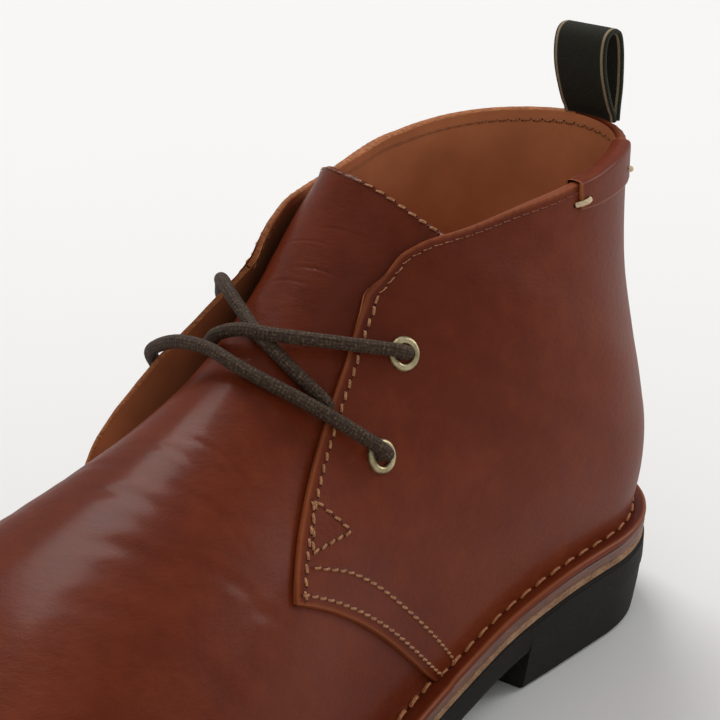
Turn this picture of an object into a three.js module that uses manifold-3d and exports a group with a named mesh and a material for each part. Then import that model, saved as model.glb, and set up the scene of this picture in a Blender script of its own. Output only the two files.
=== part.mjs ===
// A two-eyelet chukka boot on a stitched-down flange, leather midsole and rubber sole, in millimetres.
// It points its toe along -Y, stands on Z = 0, and its outer side is +X, so it is a left boot.
// Shapes are worked out in shoe coordinates: x to the outer side, s forward from the heel, z up.
import * as THREE from "three";
import { mergeVertices } from "three/addons/utils/BufferGeometryUtils.js";
import Module from "manifold-3d";

// Overall sizes of the last and the sole
const SOLE_LENGTH = 305;
const BALL_WIDTH = 106;
const SEAT_WIDTH = 73;
const LAST_WIDTH = 94;
const ANKLE_WIDTH = 74;
const COLLAR_HEIGHT = 122;
const INSTEP_HEIGHT = 86;
const TOE_HEIGHT = 51;
const HEEL_STACK = 25.5;
const FORE_STACK = 12.5;
const TOE_SPRING = 10.5;
const HEEL_LENGTH = 75;
const TOE_SWING = 6;

// Wall and layer thicknesses
const LEATHER = 1.5;
const QUARTER = 1.8;
const FLAP_GAP = 0.65;
const FLANGE = 2;
const FLANGE_WIDTH = 7;
const INSOLE = 2.5;
const MIDSOLE = 4;
const GAP = 0.3;

// The trim
const HEEL_TAPER = 3;
const EYELET_RADIUS = 3.9;
const EYELET_BORE = 2.25;
const EYELET_WALL = 0.45;
const EYELET_RIM = 0.8;
const EYELET_STAND = 0.55;
const CORD_RADIUS = 1.35;
const FAR_GAPE = 8.2;
const NEAR_GAPE = 0.5;
const LOOP_WIDTH = 15;
const LOOP_HEIGHT = 22.9;
const LOOP_OFFSET = 2.5;
const WEBBING = 1.5;
const TAB_DROP = 9;
const TAB_LEATHER = 1.2;

const HALF_BALL = BALL_WIDTH / 2;
const HALF_SEAT = SEAT_WIDTH / 2;
const HALF_LAST = LAST_WIDTH / 2;
const HALF_ANKLE = ANKLE_WIDTH / 2;
const FEATHER_END = SOLE_LENGTH - FLANGE_WIDTH;
const FEATHER_RUN = FEATHER_END - FLANGE_WIDTH;
const BACK_RISE = 1.08 * (COLLAR_HEIGHT - HEEL_STACK);
const HEEL_ROUND = 0.55 * SEAT_WIDTH;
const TOE_ROUND = 0.585 * BALL_WIDTH;

// A station up the back of the heel, from its share of the back's rise.
const above = (share) => 1 + (share * BACK_RISE) / FEATHER_RUN;

// Sole outline: share of the length, then the half width to the outer and to the inner side
const PLAN = [
  [0, 0.995 * HALF_SEAT, 0.995 * HALF_SEAT],
  [0.115, HALF_SEAT, HALF_SEAT],
  [0.197, 0.98 * HALF_SEAT, 0.985 * HALF_SEAT],
  [0.279, 0.95 * HALF_SEAT, 0.95 * HALF_SEAT],
  [0.361, 0.685 * HALF_BALL, 0.645 * HALF_BALL],
  [0.459, 0.775 * HALF_BALL, 0.72 * HALF_BALL],
  [0.557, 0.905 * HALF_BALL, 0.87 * HALF_BALL],
  [0.656, HALF_BALL, 0.97 * HALF_BALL],
  [0.754, 1.02 * HALF_BALL, 0.98 * HALF_BALL],
  [0.852, 0.98 * HALF_BALL, 0.925 * HALF_BALL],
  [1, 0.905 * HALF_BALL, 0.83 * HALF_BALL],
];

// Rise of the sole: share of the length, share of the heel's lift, share of the toe spring
const RISE = [
  [0, 1, 0],
  [0.115, 1, 0],
  [0.203, 0.946, 0],
  [0.262, 0.746, 0],
  [0.328, 0.454, 0],
  [0.393, 0.238, 0],
  [0.475, 0.07, 0],
  [0.55, 0, 0],
  [0.62, 0, 0],
  [0.72, 0, 0.02],
  [0.82, 0, 0.2],
  [0.918, 0, 0.543],
  [1, 0, 1],
];

// Ridge of the instep in side view: share of the length, height
const RIDGE = [
  [0.305, 1.18 * COLLAR_HEIGHT],
  [0.328, 1.1 * COLLAR_HEIGHT],
  [0.354, 1.026 * COLLAR_HEIGHT],
  [0.384, 0.954 * COLLAR_HEIGHT],
  [0.416, 0.89 * COLLAR_HEIGHT],
  [0.459, 0.818 * COLLAR_HEIGHT],
  [0.508, 1.072 * INSTEP_HEIGHT],
  [0.564, INSTEP_HEIGHT],
  [0.623, 0.935 * INSTEP_HEIGHT],
  [0.705, 0.835 * INSTEP_HEIGHT],
  [0.787, 1.2 * TOE_HEIGHT],
  [0.869, 1.085 * TOE_HEIGHT],
  [0.984, TOE_HEIGHT],
];

// Back of the heel in side view: share of the back's rise, share of the length forward of the sole's end
const BACK = [
  [0, FLANGE_WIDTH / SOLE_LENGTH],
  [0.1, 0.0225],
  [0.2, 0.022],
  [0.34, 0.0235],
  [0.51, 0.029],
  [0.7, 0.034],
  [0.89, 0.033],
  [1, 0.031],
];

// How the sections turn from the heel's end up to the top: share of the back's rise, share of the turn
const TURN = [
  [0, 0],
  [0.18, 0.139],
  [0.38, 0.282],
  [0.57, 0.44],
  [0.76, 0.638],
  [1, 1],
];

// Sections of the last. The station runs 0 to 1 along the feather from toe to heel, then on up the back.
// Columns: station, ridge end as a share of the length, half width outer and inner,
// distance from the ridge to the widest point, fullness
const SECTIONS = [
  [0, 0.977, 0.9 * HALF_LAST, 0.84 * HALF_LAST, 0.238 * INSTEP_HEIGHT, 2.3],
  [0.14, 0.844, 0.975 * HALF_LAST, 0.91 * HALF_LAST, 0.339 * INSTEP_HEIGHT, 2.3],
  [0.24, 0.748, 1.015 * HALF_LAST, 0.975 * HALF_LAST, 0.452 * INSTEP_HEIGHT, 2.2],
  [0.34, 0.653, 1.005 * HALF_LAST, 0.97 * HALF_LAST, 0.585 * INSTEP_HEIGHT, 2.1],
  [0.45, 0.562, 0.885 * HALF_LAST, 0.842 * HALF_LAST, 0.646 * INSTEP_HEIGHT, 2],
  [0.53, 0.5135, 0.783 * HALF_LAST, 0.751 * HALF_LAST, 0.69 * INSTEP_HEIGHT, 2],
  [0.62, 0.47, 0.9 * HALF_ANKLE, 0.887 * HALF_ANKLE, 0.74 * INSTEP_HEIGHT, 1.95],
  [0.7, 0.438, 0.884 * HALF_ANKLE, 0.884 * HALF_ANKLE, 0.79 * INSTEP_HEIGHT, 1.95],
  [0.8, 0.407, 0.92 * HALF_ANKLE, 0.92 * HALF_ANKLE, 0.848 * INSTEP_HEIGHT, 1.95],
  [0.9, 0.384, 0.98 * HALF_ANKLE, 0.98 * HALF_ANKLE, 0.907 * INSTEP_HEIGHT, 1.95],
  [1, 0.3656, HALF_ANKLE, HALF_ANKLE, 0.94 * INSTEP_HEIGHT, 1.95],
  [above(0.18), 0.354, 0.973 * HALF_ANKLE, 0.973 * HALF_ANKLE, 0.92 * INSTEP_HEIGHT, 1.95],
  [above(0.38), 0.342, 0.88 * HALF_ANKLE, 0.88 * HALF_ANKLE, 0.837 * INSTEP_HEIGHT, 1.95],
  [above(0.57), 0.331, 0.8 * HALF_ANKLE, 0.8 * HALF_ANKLE, 0.73 * INSTEP_HEIGHT, 1.95],
  [above(0.76), 0.32, 0.77 * HALF_ANKLE, 0.77 * HALF_ANKLE, 0.64 * INSTEP_HEIGHT, 2],
  [above(1), 0.305, 0.755 * HALF_ANKLE, 0.755 * HALF_ANKLE, 0.545 * INSTEP_HEIGHT, 2],
];

// Edges of the quarter on the last, each point a station and a share of the half girth down from the ridge
const FACING = [
  [0.4735, 0.552],
  [0.4845, 0.516],
  [0.507, 0.468],
  [0.533, 0.424],
  [0.5636, 0.384],
  [0.598, 0.348],
  [0.636, 0.314],
  [0.683, 0.276],
  [0.729, 0.249],
  [0.784, 0.222],
  [0.855, 0.198],
];
const RIM = [
  [0.855, 0.198],
  [0.9, 0.176],
  [0.95, 0.15],
  [1, 0.149],
  [above(0.13), 0.166],
  [above(0.25), 0.194],
  [above(0.46), 0.267],
  [above(0.635), 0.347],
  [above(0.755), 0.435],
  [above(0.83), 0.52],
  [above(0.885), 0.635],
  [above(0.92), 0.755],
  [above(0.94), 0.875],
  [above(0.953), 1],
];
const SEAM = [
  [0.4735, 0.552],
  [0.498, 0.589],
  [0.529, 0.638],
  [0.561, 0.699],
  [0.592, 0.772],
  [0.616, 0.852],
  [0.64, 0.952],
  [0.65, 1],
];

// The slot under each flap, where the tongue lies: station and share of the half girth
const SLOT = [
  [0.515, 0.5],
  [0.565, 0.5],
  [0.62, 0.505],
  [0.69, 0.485],
  [0.76, 0.43],
  [0.84, 0.375],
  [0.88, 0.361],
  [0.92, 0.324],
  [0.96, 0.3],
  [above(0.1), 0.302],
  [above(0.25), 0.301],
  [above(0.43), 0.291],
];

// How far each flap's edge stands off the tongue: station, share of the near gape, share of the far gape
const GAPE = [
  [0.4735, 0, 0],
  [0.5, 0, 0.25],
  [0.53, 0.15, 0.7],
  [0.56, 0.5, 0.92],
  [0.6, 0.9, 1],
  [0.65, 1, 0.9],
  [0.7, 1, 0.6],
  [0.74, 1, 0.42],
  [0.81, 1, 0.22],
  [0.86, 1, 0.16],
  [0.94, 1, 0.33],
  [1, 0.95, 0.38],
  [above(0.13), 0.75, 0.33],
  [above(0.4), 0.4, 0.22],
  [above(0.68), 0, 0],
];

// Top edge of the tongue: signed share of the half girth, station
const TONGUE_TOP = [
  [-0.296, above(0.38)],
  [-0.212, above(0.53)],
  [-0.127, above(0.553)],
  [-0.032, above(0.519)],
  [0.074, above(0.466)],
  [0.165, above(0.37)],
  [0.233, above(0.3)],
  [0.286, above(0.22)],
];

const EYELETS = { upper: [0.8165, 0.323], lower: [0.68, 0.43] };

const COLOURS = {
  leather: { color: 0x6b2718, roughness: 0.42, metalness: 0 },
  lining: { color: 0xb06a35, roughness: 0.7, metalness: 0 },
  edge: { color: 0x6a5546, roughness: 0.7, metalness: 0 },
  rubber: { color: 0x201e1b, roughness: 0.85, metalness: 0 },
  brass: { color: 0x8d7f5c, roughness: 0.35, metalness: 1 },
  cord: { color: 0x3a2d24, roughness: 0.8, metalness: 0 },
  webbing: { color: 0x23231d, roughness: 0.9, metalness: 0 },
};

const wasm = await Module();
wasm.setup();

const clamp = (value, low, high) => Math.min(Math.max(value, low), high);
const mix = (a, b, share) => a + (b - a) * share;

function ease(from, to, value) {
  const share = clamp((value - from) / (to - from), 0, 1);
  return share * share * (3 - 2 * share);
}

// A smooth curve through one column of a table whose first column rises.
function lookUp(rows, at, column = 1) {
  const last = rows.length - 1;
  const x = clamp(at, rows[0][0], rows[last][0]);
  const steps = rows.slice(1).map((row, i) => row[0] - rows[i][0]);
  const slopes = rows.slice(1).map((row, i) => (row[column] - rows[i][column]) / steps[i]);
  const tangent = (i) => {
    if (i === 0) return slopes[0];
    if (i === last) return slopes[last - 1];
    return (slopes[i - 1] * steps[i] + slopes[i] * steps[i - 1]) / (steps[i] + steps[i - 1]);
  };
  let i = rows.findIndex((row) => row[0] > x) - 1;
  if (i < 0) i = last - 1;
  const t = (x - rows[i][0]) / steps[i];
  const t2 = t * t;
  const t3 = t2 * t;
  return (
    (2 * t3 - 3 * t2 + 1) * rows[i][column] +
    (t3 - 2 * t2 + t) * steps[i] * tangent(i) +
    (3 * t2 - 2 * t3) * rows[i + 1][column] +
    (t3 - t2) * steps[i] * tangent(i + 1)
  );
}

// A superellipse's quarter: 0 at the tip, 1 at the full width.
function roundEnd(share, power) {
  return (1 - (1 - clamp(share, 0, 1)) ** power) ** (1 / power);
}

// Height of the flange's underside, and of the rubber's tread, above the floor.
function tread(s) {
  const share = s / SOLE_LENGTH;
  const lift = (HEEL_STACK - FORE_STACK) * lookUp(RISE, share, 1);
  return Math.max(lift + TOE_SPRING * lookUp(RISE, share, 2), 0);
}
const bed = (s) => tread(s) + FORE_STACK;

function centreLine(s) {
  const forward = clamp((s / SOLE_LENGTH - 0.49) / 0.51, 0, 1);
  return -TOE_SWING * forward * forward;
}

function halfWidth(s, side, inset) {
  const width = lookUp(PLAN, s / SOLE_LENGTH, side > 0 ? 1 : 2) - inset;
  const heel = roundEnd((s - inset) / (HEEL_ROUND - inset), 2.1);
  const toe = roundEnd((SOLE_LENGTH - inset - s) / (TOE_ROUND - inset), 2.15);
  return width * heel * toe;
}

// Where the heel's back lies at a height.
const backAt = (z) => lookUp(BACK, (z - HEEL_STACK) / BACK_RISE) * SOLE_LENGTH;

function ridgePoint(station) {
  const s = lookUp(SECTIONS, station, 1) * SOLE_LENGTH;
  return new THREE.Vector2(s, lookUp(RIDGE, s / SOLE_LENGTH));
}

const dropAngle = (from, to) => Math.atan2(from.y - to.y, from.x - to.x);
const HEEL_POINT = new THREE.Vector2(FLANGE_WIDTH, HEEL_STACK);
const CREST = new THREE.Vector2(lookUp(BACK, 1) * SOLE_LENGTH, HEEL_STACK + BACK_RISE);
const HEEL_ANGLE = dropAngle(ridgePoint(1), HEEL_POINT);
const CREST_ANGLE = dropAngle(ridgePoint(above(1)), CREST);

// The plane of one station in side view: it starts on the ridge and ends on the feather or the heel's back.
function stationPlane(station) {
  const ridge = ridgePoint(station);
  if (station <= 1) {
    const s = FEATHER_END - station * FEATHER_RUN;
    const foot = new THREE.Vector2(s, bed(s));
    const cap = roundEnd((station * FEATHER_RUN) / (0.67 * TOE_HEIGHT), 2.3);
    ridge.y = mix(foot.y, ridge.y, cap);
    return { ridge, foot, cap };
  }
  const turn = lookUp(TURN, ((station - 1) * FEATHER_RUN) / BACK_RISE);
  const angle = mix(HEEL_ANGLE, CREST_ANGLE, turn);
  const foot = CREST.clone();
  for (let i = 0; i < 6; i++) {
    foot.y = ridge.y - (ridge.x - backAt(foot.y)) * Math.tan(angle);
    foot.x = backAt(foot.y);
  }
  return { ridge, foot, cap: 1 };
}

// Half width of the heel part, worked out in side view alone, so that it runs smoothly round the heel.
function heelHalf(s, z, side, width) {
  const seat = lookUp(PLAN, s / SOLE_LENGTH, side > 0 ? 1 : 2) - FLANGE_WIDTH;
  const rise = clamp((z - bed(s)) / (0.4 * INSTEP_HEIGHT), 0, 1);
  const round = mix(HEEL_ROUND - FLANGE_WIDTH, 0.6 * ANKLE_WIDTH, rise);
  return mix(seat, width, rise * (2 - rise)) * roundEnd((s - backAt(z)) / round, 2.15);
}

// A point of the last, girth being the signed share of the half girth, + to the outer side.
function lastPoint(station, girth) {
  const side = girth < 0 ? -1 : 1;
  const { ridge, foot, cap } = stationPlane(station);
  const span = ridge.distanceTo(foot);
  const toe = roundEnd((station * FEATHER_RUN) / (TOE_ROUND - FLANGE_WIDTH), 2.15);
  const width = lookUp(SECTIONS, station, side > 0 ? 2 : 3) * toe;
  const reach = lookUp(SECTIONS, station, 4) * cap;
  const power = lookUp(SECTIONS, station, 5);
  const footHalf = station < 1 ? Math.min(halfWidth(foot.x, side, FLANGE_WIDTH), 0.985 * width) : 0;
  const tuck = width > 1e-6 ? Math.acos(clamp(footHalf / width, 0, 1)) : 0;
  const turn = mix(tuck, 1.4, ease(0.86, 0.985, station));
  const angle = Math.abs(girth) * (Math.PI / 2 + turn);
  const over = Math.max(Math.cos(Math.min(angle, Math.PI / 2)), 0) ** (2 / power);
  const below = Math.sin(Math.max(angle - Math.PI / 2, 0)) / Math.max(Math.sin(turn), 1e-6);
  const down = reach * (1 - over) + (span - reach) * below;
  const share = span > 1e-6 ? clamp(down / span, 0, 1) : 0;
  const s = mix(ridge.x, foot.x, share);
  const z = mix(ridge.y, foot.y, share);
  const heelPart = ease(0.6, 0.84, station);
  const arch = roundEnd(down / Math.max(reach, 1e-6), power);
  const plain = width * Math.cos(Math.asin(clamp(below * Math.sin(tuck), 0, 1)));
  const across = arch * (heelPart > 0 ? mix(plain, heelHalf(s, z, side, width), heelPart) : plain);
  const middle = mix(centreLine(ridge.x), centreLine(foot.x), share);
  return new THREE.Vector3(middle + side * across, s, z);
}

// Outward direction of the last at a point, from its neighbours.
function lastNormal(station, girth) {
  const step = 0.002;
  const t = clamp(station, 2 * step, above(1) - step);
  const side = girth < 0 ? -1 : 1;
  const g = side * clamp(Math.abs(girth), 2 * step, 1 - step);
  const along = lastPoint(t + step, g).sub(lastPoint(t - step, g));
  const round = lastPoint(t, g + step).sub(lastPoint(t, g - step));
  const normal = along.cross(round).normalize();
  const plane = stationPlane(t);
  const core = new THREE.Vector3(
    centreLine(plane.ridge.x),
    (plane.ridge.x + plane.foot.x) / 2,
    (plane.ridge.y + plane.foot.y) / 2,
  );
  return normal.dot(lastPoint(t, g).sub(core)) < 0 ? normal.negate() : normal;
}

function offLast(station, girth, height) {
  return lastPoint(station, girth).addScaledVector(lastNormal(station, girth), height);
}

// Makes a closed solid of loose triangles, given as triples of points.
function solidOf(triangles) {
  const index = new Map();
  const points = [];
  const numberOf = (p) => {
    const key = [p.x, p.y, p.z].map((c) => Math.round(c * 1e3)).join();
    if (!index.has(key)) index.set(key, points.push(p) - 1);
    return index.get(key);
  };
  const faces = triangles.map((t) => t.map(numberOf));
  const real = faces.filter(([a, b, c]) => a !== b && b !== c && c !== a);
  const made = new wasm.Manifold(
    new wasm.Mesh({
      numProp: 3,
      vertProperties: new Float32Array(points.flatMap((p) => [p.x, p.y, p.z])),
      triVerts: new Uint32Array(real.flat()),
    }),
  );
  if (made.volume() > 0) return made;
  return solidOf(triangles.map(([a, b, c]) => [a, c, b]));
}

// A three.js geometry as a solid.
function solidOfGeometry(geometry) {
  geometry.deleteAttribute("normal");
  geometry.deleteAttribute("uv");
  const merged = mergeVertices(geometry, 1e-4);
  return new wasm.Manifold(
    new wasm.Mesh({
      numProp: 3,
      vertProperties: merged.attributes.position.array,
      triVerts: new Uint32Array(merged.index.array),
    }),
  );
}

// A closed solid as a named mesh.
function meshOf(name, solid, look) {
  const data = solid.getMesh();
  const geometry = new THREE.BufferGeometry();
  geometry.setAttribute("position", new THREE.BufferAttribute(data.vertProperties, 3));
  geometry.setIndex(new THREE.BufferAttribute(data.triVerts, 1));
  geometry.computeVertexNormals();
  const mesh = new THREE.Mesh(geometry, new THREE.MeshStandardMaterial(COLOURS[look]));
  mesh.name = name;
  return mesh;
}

// A patch between four edges in station and girth, its first side running up and its second across.
function patch(left, right, bottom, top) {
  return (up, over) => {
    const blend = (i) =>
      mix(left(up)[i], right(up)[i], over) +
      mix(bottom(over)[i], top(over)[i], up) -
      mix(mix(left(0)[i], right(0)[i], over), mix(left(1)[i], right(1)[i], over), up);
    return [blend(0), blend(1)];
  };
}

// A curve through the rows of a table, run at an even pace over the last.
function evenEdge(rows) {
  const curve = new THREE.SplineCurve(rows.map((row) => new THREE.Vector2(...row)));
  const count = 80;
  const lengths = [0];
  let before = null;
  for (let i = 0; i <= count; i++) {
    const at = curve.getPoint(i / count);
    const point = lastPoint(at.x, clamp(at.y, 0, 1));
    if (before) lengths.push(lengths[i - 1] + point.distanceTo(before));
    before = point;
  }
  return (share) => {
    const goal = clamp(share, 0, 1) * lengths[count];
    let i = lengths.findIndex((length) => length >= goal);
    i = clamp(i, 1, count);
    const part = (goal - lengths[i - 1]) / (lengths[i] - lengths[i - 1] || 1);
    const at = curve.getPoint((i - 1 + part) / count);
    return [at.x, clamp(at.y, 0, 1)];
  };
}

// The rows and columns of a patch as triangles of station and girth, on one side of the boot.
function tiles(at, ups, overs, side) {
  const made = [];
  for (let i = 0; i < ups; i++) {
    for (let j = 0; j < overs; j++) {
      const corner = (a, b) => {
        const [station, girth] = at((i + a) / ups, (j + b) / overs);
        return [station, side * girth];
      };
      made.push([corner(0, 0), corner(1, 0), corner(1, 1)]);
      made.push([corner(0, 0), corner(1, 1), corner(0, 1)]);
    }
  }
  return made;
}

// A leather sheet of even or varying thickness over the last, from patches of triangles of station and girth.
function sheet(patches, innerHeight, outerHeight) {
  const index = new Map();
  const nodes = [];
  const nodeOf = ([station, girth]) => {
    const base = lastPoint(station, girth);
    const key = [base.x, base.y, base.z].map((c) => Math.round(c * 100)).join();
    if (!index.has(key)) {
      index.set(key, nodes.length);
      nodes.push({ base, station, girth, normal: new THREE.Vector3() });
    }
    const found = nodes[index.get(key)];
    found.normal.add(lastNormal(station, girth));
    return index.get(key);
  };
  const faces = patches.flatMap((triangles) => {
    const found = triangles
      .map((corners) => corners.map(nodeOf))
      .filter(([a, b, c]) => a !== b && b !== c && c !== a);
    const facing = found.reduce((sum, corners) => {
      const [p, q, r] = corners.map((n) => nodes[n].base);
      return sum + q.clone().sub(p).cross(r.clone().sub(p)).dot(nodes[corners[0]].normal);
    }, 0);
    return facing < 0 ? found.map(([a, b, c]) => [a, c, b]) : found;
  });
  const grounded = (node, height) => {
    const point = node.base.clone().addScaledVector(node.normal.clone().normalize(), height);
    point.z = Math.max(point.z, bed(point.y) + 0.4 * FLANGE);
    return point;
  };
  const outer = nodes.map((n) => grounded(n, outerHeight(n.station, n.girth)));
  const inner = nodes.map((n) => grounded(n, innerHeight(n.station, n.girth)));
  const edges = new Set(faces.flatMap(([a, b, c]) => [`${a},${b}`, `${b},${c}`, `${c},${a}`]));
  const walls = [...edges].flatMap((edge) => {
    const [a, b] = edge.split(",").map(Number);
    if (edges.has(`${b},${a}`)) return [];
    return [
      [outer[b], outer[a], inner[a]],
      [outer[b], inner[a], inner[b]],
    ];
  });
  return solidOf([
    ...faces.map(([a, b, c]) => [outer[a], outer[b], outer[c]]),
    ...faces.map(([a, b, c]) => [inner[a], inner[c], inner[b]]),
    ...walls,
  ]);
}

// A plate with the sole's outline: its levels hold an inset from the sole's edge and a height along s.
function plate(levels, end = SOLE_LENGTH) {
  const turns = 12;
  const straights = 22;
  const blockStraights = 6;
  const rings = levels.map(({ inset, height }) => {
    const heel = HEEL_ROUND - inset;
    const toe = TOE_ROUND - inset;
    const cut = end < SOLE_LENGTH;
    const stations = [];
    for (let i = 0; i <= turns; i++) {
      stations.push(inset + heel * (1 - Math.cos((i / turns) * (Math.PI / 2))));
    }
    const from = inset + heel;
    const to = cut ? end : SOLE_LENGTH - inset - toe;
    const middles = cut ? blockStraights : straights;
    for (let i = 1; i <= middles; i++) stations.push(mix(from, to, i / middles));
    for (let i = turns - 1; i >= 0 && !cut; i--) {
      stations.push(SOLE_LENGTH - inset - toe * (1 - Math.cos((i / turns) * (Math.PI / 2))));
    }
    return [1, -1].map((side) =>
      stations.map((s) => new THREE.Vector3(
        centreLine(s) + side * halfWidth(s, side, inset), s, height(s))),
    );
  });
  const triangles = [];
  const quad = (a, b, c, d) => triangles.push([a, b, c], [a, c, d]);
  const loops = rings.map(([outside, inside]) => [...outside, ...inside.slice().reverse()]);
  const size = loops[0].length;
  for (let level = 1; level < loops.length; level++) {
    for (let i = 0; i < size; i++) {
      const j = (i + 1) % size;
      quad(loops[level - 1][i], loops[level - 1][j], loops[level][j], loops[level][i]);
    }
  }
  const cap = ([outside, inside], turned) => {
    for (let i = 0; i + 1 < outside.length; i++) {
      const corners = [outside[i], outside[i + 1], inside[i + 1], inside[i]];
      if (turned) corners.reverse();
      quad(...corners);
    }
  };
  cap(rings[0], true);
  cap(rings[rings.length - 1], false);
  return solidOf(triangles);
}

const slotAt = (station) => lookUp(SLOT, station, 1);
const facingAt = (station) => {
  const rows = FACING.concat(RIM.slice(1, 9));
  return lookUp(rows, station, 1);
};

// How far a flap's edge stands off the tongue, and how that fades away from the edge.
const nearGape = (station) => NEAR_GAPE * lookUp(GAPE, station, 1);
const farGape = (station) => FAR_GAPE * lookUp(GAPE, station, 2);
function flapLift(station, girth) {
  const edge = facingAt(station);
  const reach = Math.max(slotAt(station), edge + 0.1);
  const share = clamp((reach - Math.abs(girth)) / (reach - edge), 0, 1);
  return (girth < 0 ? farGape(station) : nearGape(station)) * share ** 1.5;
}

const quarterOuter = (station, girth) => QUARTER + flapLift(station, girth);
const quarterInner = (station, girth) => {
  const overSlot = Math.abs(girth) < slotAt(station) + 0.08 + 0.05 * ease(0.7, 1, station) && station > SLOT[0][0] - 0.03;
  return overSlot ? FLAP_GAP + flapLift(station, girth) : -0.8 * LEATHER;
};

const facingEdge = evenEdge(FACING);
const rimEdge = evenEdge(RIM);
const seamEdge = evenEdge(SEAM);

// The lower edge of a side: along the feather to the heel, which it reaches at the given share, and up the back.
function backEdge(from, to, heelShare) {
  const feather = evenEdge([0, 0.4, 0.75, 0.9, 1].map((share) => [mix(from, 1, share), 1]));
  const rise = evenEdge([[1, 1], [mix(1, to, 0.5), 1], [to, 1]]);
  return (share) => (share <= heelShare ? feather(share / heelShare) : rise((share - heelShare) / (1 - heelShare)));
}
const UPS = 22;
const OVERS = 16;
const HEEL_ROW = 12 / UPS;

const quarterPatch = patch(facingEdge, backEdge(SEAM[SEAM.length - 1][0], RIM[RIM.length - 1][0], HEEL_ROW), seamEdge, rimEdge);

function quarters() {
  const closerInFront = (up, over) => quarterPatch(up, over ** 1.3);
  const both = [1, -1].map((side) => tiles(closerInFront, UPS, OVERS, side));
  return sheet(both, quarterInner, quarterOuter);
}

// The vamp, which runs on under the quarters' front edge. Its own back edge is a station for each girth share.
const VAMP_BACK = [
  [0.5, 0.565],
  [0.75, 0.625],
  [1, 0.69],
];
function vamp() {
  const throat = SLOT[0];
  const girths = [0, 0.1, 0.2, 0.3, 0.4];
  const underRows = 8;
  for (let i = 0; i <= underRows; i++) girths.push(mix(throat[1], 1, i / underRows));
  const stations = [0, 0.006, 0.02, 0.045, 0.08, 0.12, 0.17, 0.22, 0.27, 0.32, 0.37, 0.42, 0.47, throat[0]];
  const front = (up, over) => [
    stations[Math.round(up * (stations.length - 1))],
    girths[Math.round(over * (girths.length - 1))],
  ];
  const wing = (up, over) => {
    const girth = mix(throat[1], 1, over);
    return [mix(throat[0], lookUp(VAMP_BACK, girth, 1), up), girth];
  };
  const parts = [1, -1].flatMap((side) => [
    tiles(front, stations.length - 1, girths.length - 1, side),
    tiles(wing, 5, underRows, side),
  ]);
  return sheet(parts, () => -LEATHER, () => 0);
}

// The upper's edge, turned out flat on the midsole.
function flange() {
  const whole = plate([
    { inset: 0.2, height: bed },
    { inset: 0.2, height: (s) => bed(s) + FLANGE },
  ]);
  const inside = FLANGE_WIDTH + LEATHER + 0.7;
  const opening = plate([
    { inset: inside, height: (s) => bed(s) - 1 },
    { inset: inside, height: (s) => bed(s) + FLANGE + 1 },
  ]);
  return whole.subtract(opening);
}

// The frame of an eyelet on the flap: its middle on the leather and the way out.
function eyeletFrame([station, girth], side) {
  const at = (t, g) => offLast(t, side * g, quarterOuter(t, side * g));
  const step = 0.01;
  const along = at(station + step, girth).sub(at(station - step, girth));
  const round = at(station, girth + step).sub(at(station, girth - step));
  const out = along.cross(round).normalize();
  if (out.dot(lastNormal(station, side * girth)) < 0) out.negate();
  return { middle: at(station, girth), out };
}

function placed(geometry, { middle, out }) {
  const turn = new THREE.Quaternion().setFromUnitVectors(new THREE.Vector3(0, 1, 0), out);
  geometry.applyQuaternion(turn);
  geometry.translate(middle.x, middle.y, middle.z);
  return geometry;
}

function eyeletHole(frame) {
  const radius = EYELET_BORE + EYELET_WALL + GAP;
  return solidOfGeometry(placed(new THREE.CylinderGeometry(radius, radius, 4 * QUARTER, 16), frame));
}

function eyelet(frame) {
  const depth = QUARTER - 0.2;
  const profile = [
    [EYELET_BORE, -depth],
    [EYELET_BORE + EYELET_WALL, -depth],
    [EYELET_BORE + EYELET_WALL, EYELET_STAND],
    [EYELET_RADIUS, EYELET_STAND],
    [EYELET_RADIUS - 0.1, EYELET_STAND + 0.6 * EYELET_RIM],
    [mix(EYELET_BORE, EYELET_RADIUS, 0.5), EYELET_STAND + EYELET_RIM],
    [EYELET_BORE, EYELET_STAND + 0.5 * EYELET_RIM],
    [EYELET_BORE, -depth],
  ];
  const geometry = new THREE.LatheGeometry(profile.map(([r, h]) => new THREE.Vector2(r, h)), 14);
  return placed(geometry, frame);
}

// The tongue, one piece with the vamp in look, rising between the flaps.
function tongue() {
  const start = SLOT[0][0] + 0.0022;
  const rows = 12;
  const columns = 12;
  const at = (up, over) => {
    const signed = mix(-1, 1, over);
    const wide = (station) => (slotAt(station) - 0.018) * signed;
    const reach = lookUp(TONGUE_TOP, wide(above(0.3)), 1);
    const station = mix(start, reach, up);
    return [station, wide(station)];
  };
  return sheet([tiles(at, rows, columns, 1)], () => -LEATHER, () => 0);
}

function outsole() {
  const top = (s) => bed(s) - 2 * GAP - MIDSOLE;
  const rubber = plate([
    { inset: 1.4, height: tread },
    { inset: 0.6, height: (s) => tread(s) + 0.2 * (top(s) - tread(s)) },
    { inset: 0.4, height: top },
  ]);
  const block = plate(
    [
      { inset: HEEL_TAPER, height: () => 0 },
      { inset: 0.55 * HEEL_TAPER, height: (s) => 0.5 * tread(s) },
      { inset: 0.3 * HEEL_TAPER, height: (s) => tread(s) + 1 },
    ],
    HEEL_LENGTH,
  );
  return rubber.add(block);
}

const midsole = () => plate([
  { inset: 0.8, height: (s) => bed(s) - GAP - MIDSOLE },
  { inset: 0.5, height: (s) => bed(s) - GAP - 0.5 * MIDSOLE },
  { inset: 0.9, height: (s) => bed(s) - GAP },
]);

const insole = () => {
  const inset = FLANGE_WIDTH + LEATHER + 2;
  return plate([
    { inset, height: bed },
    { inset, height: (s) => bed(s) + INSOLE },
  ]);
};

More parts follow.
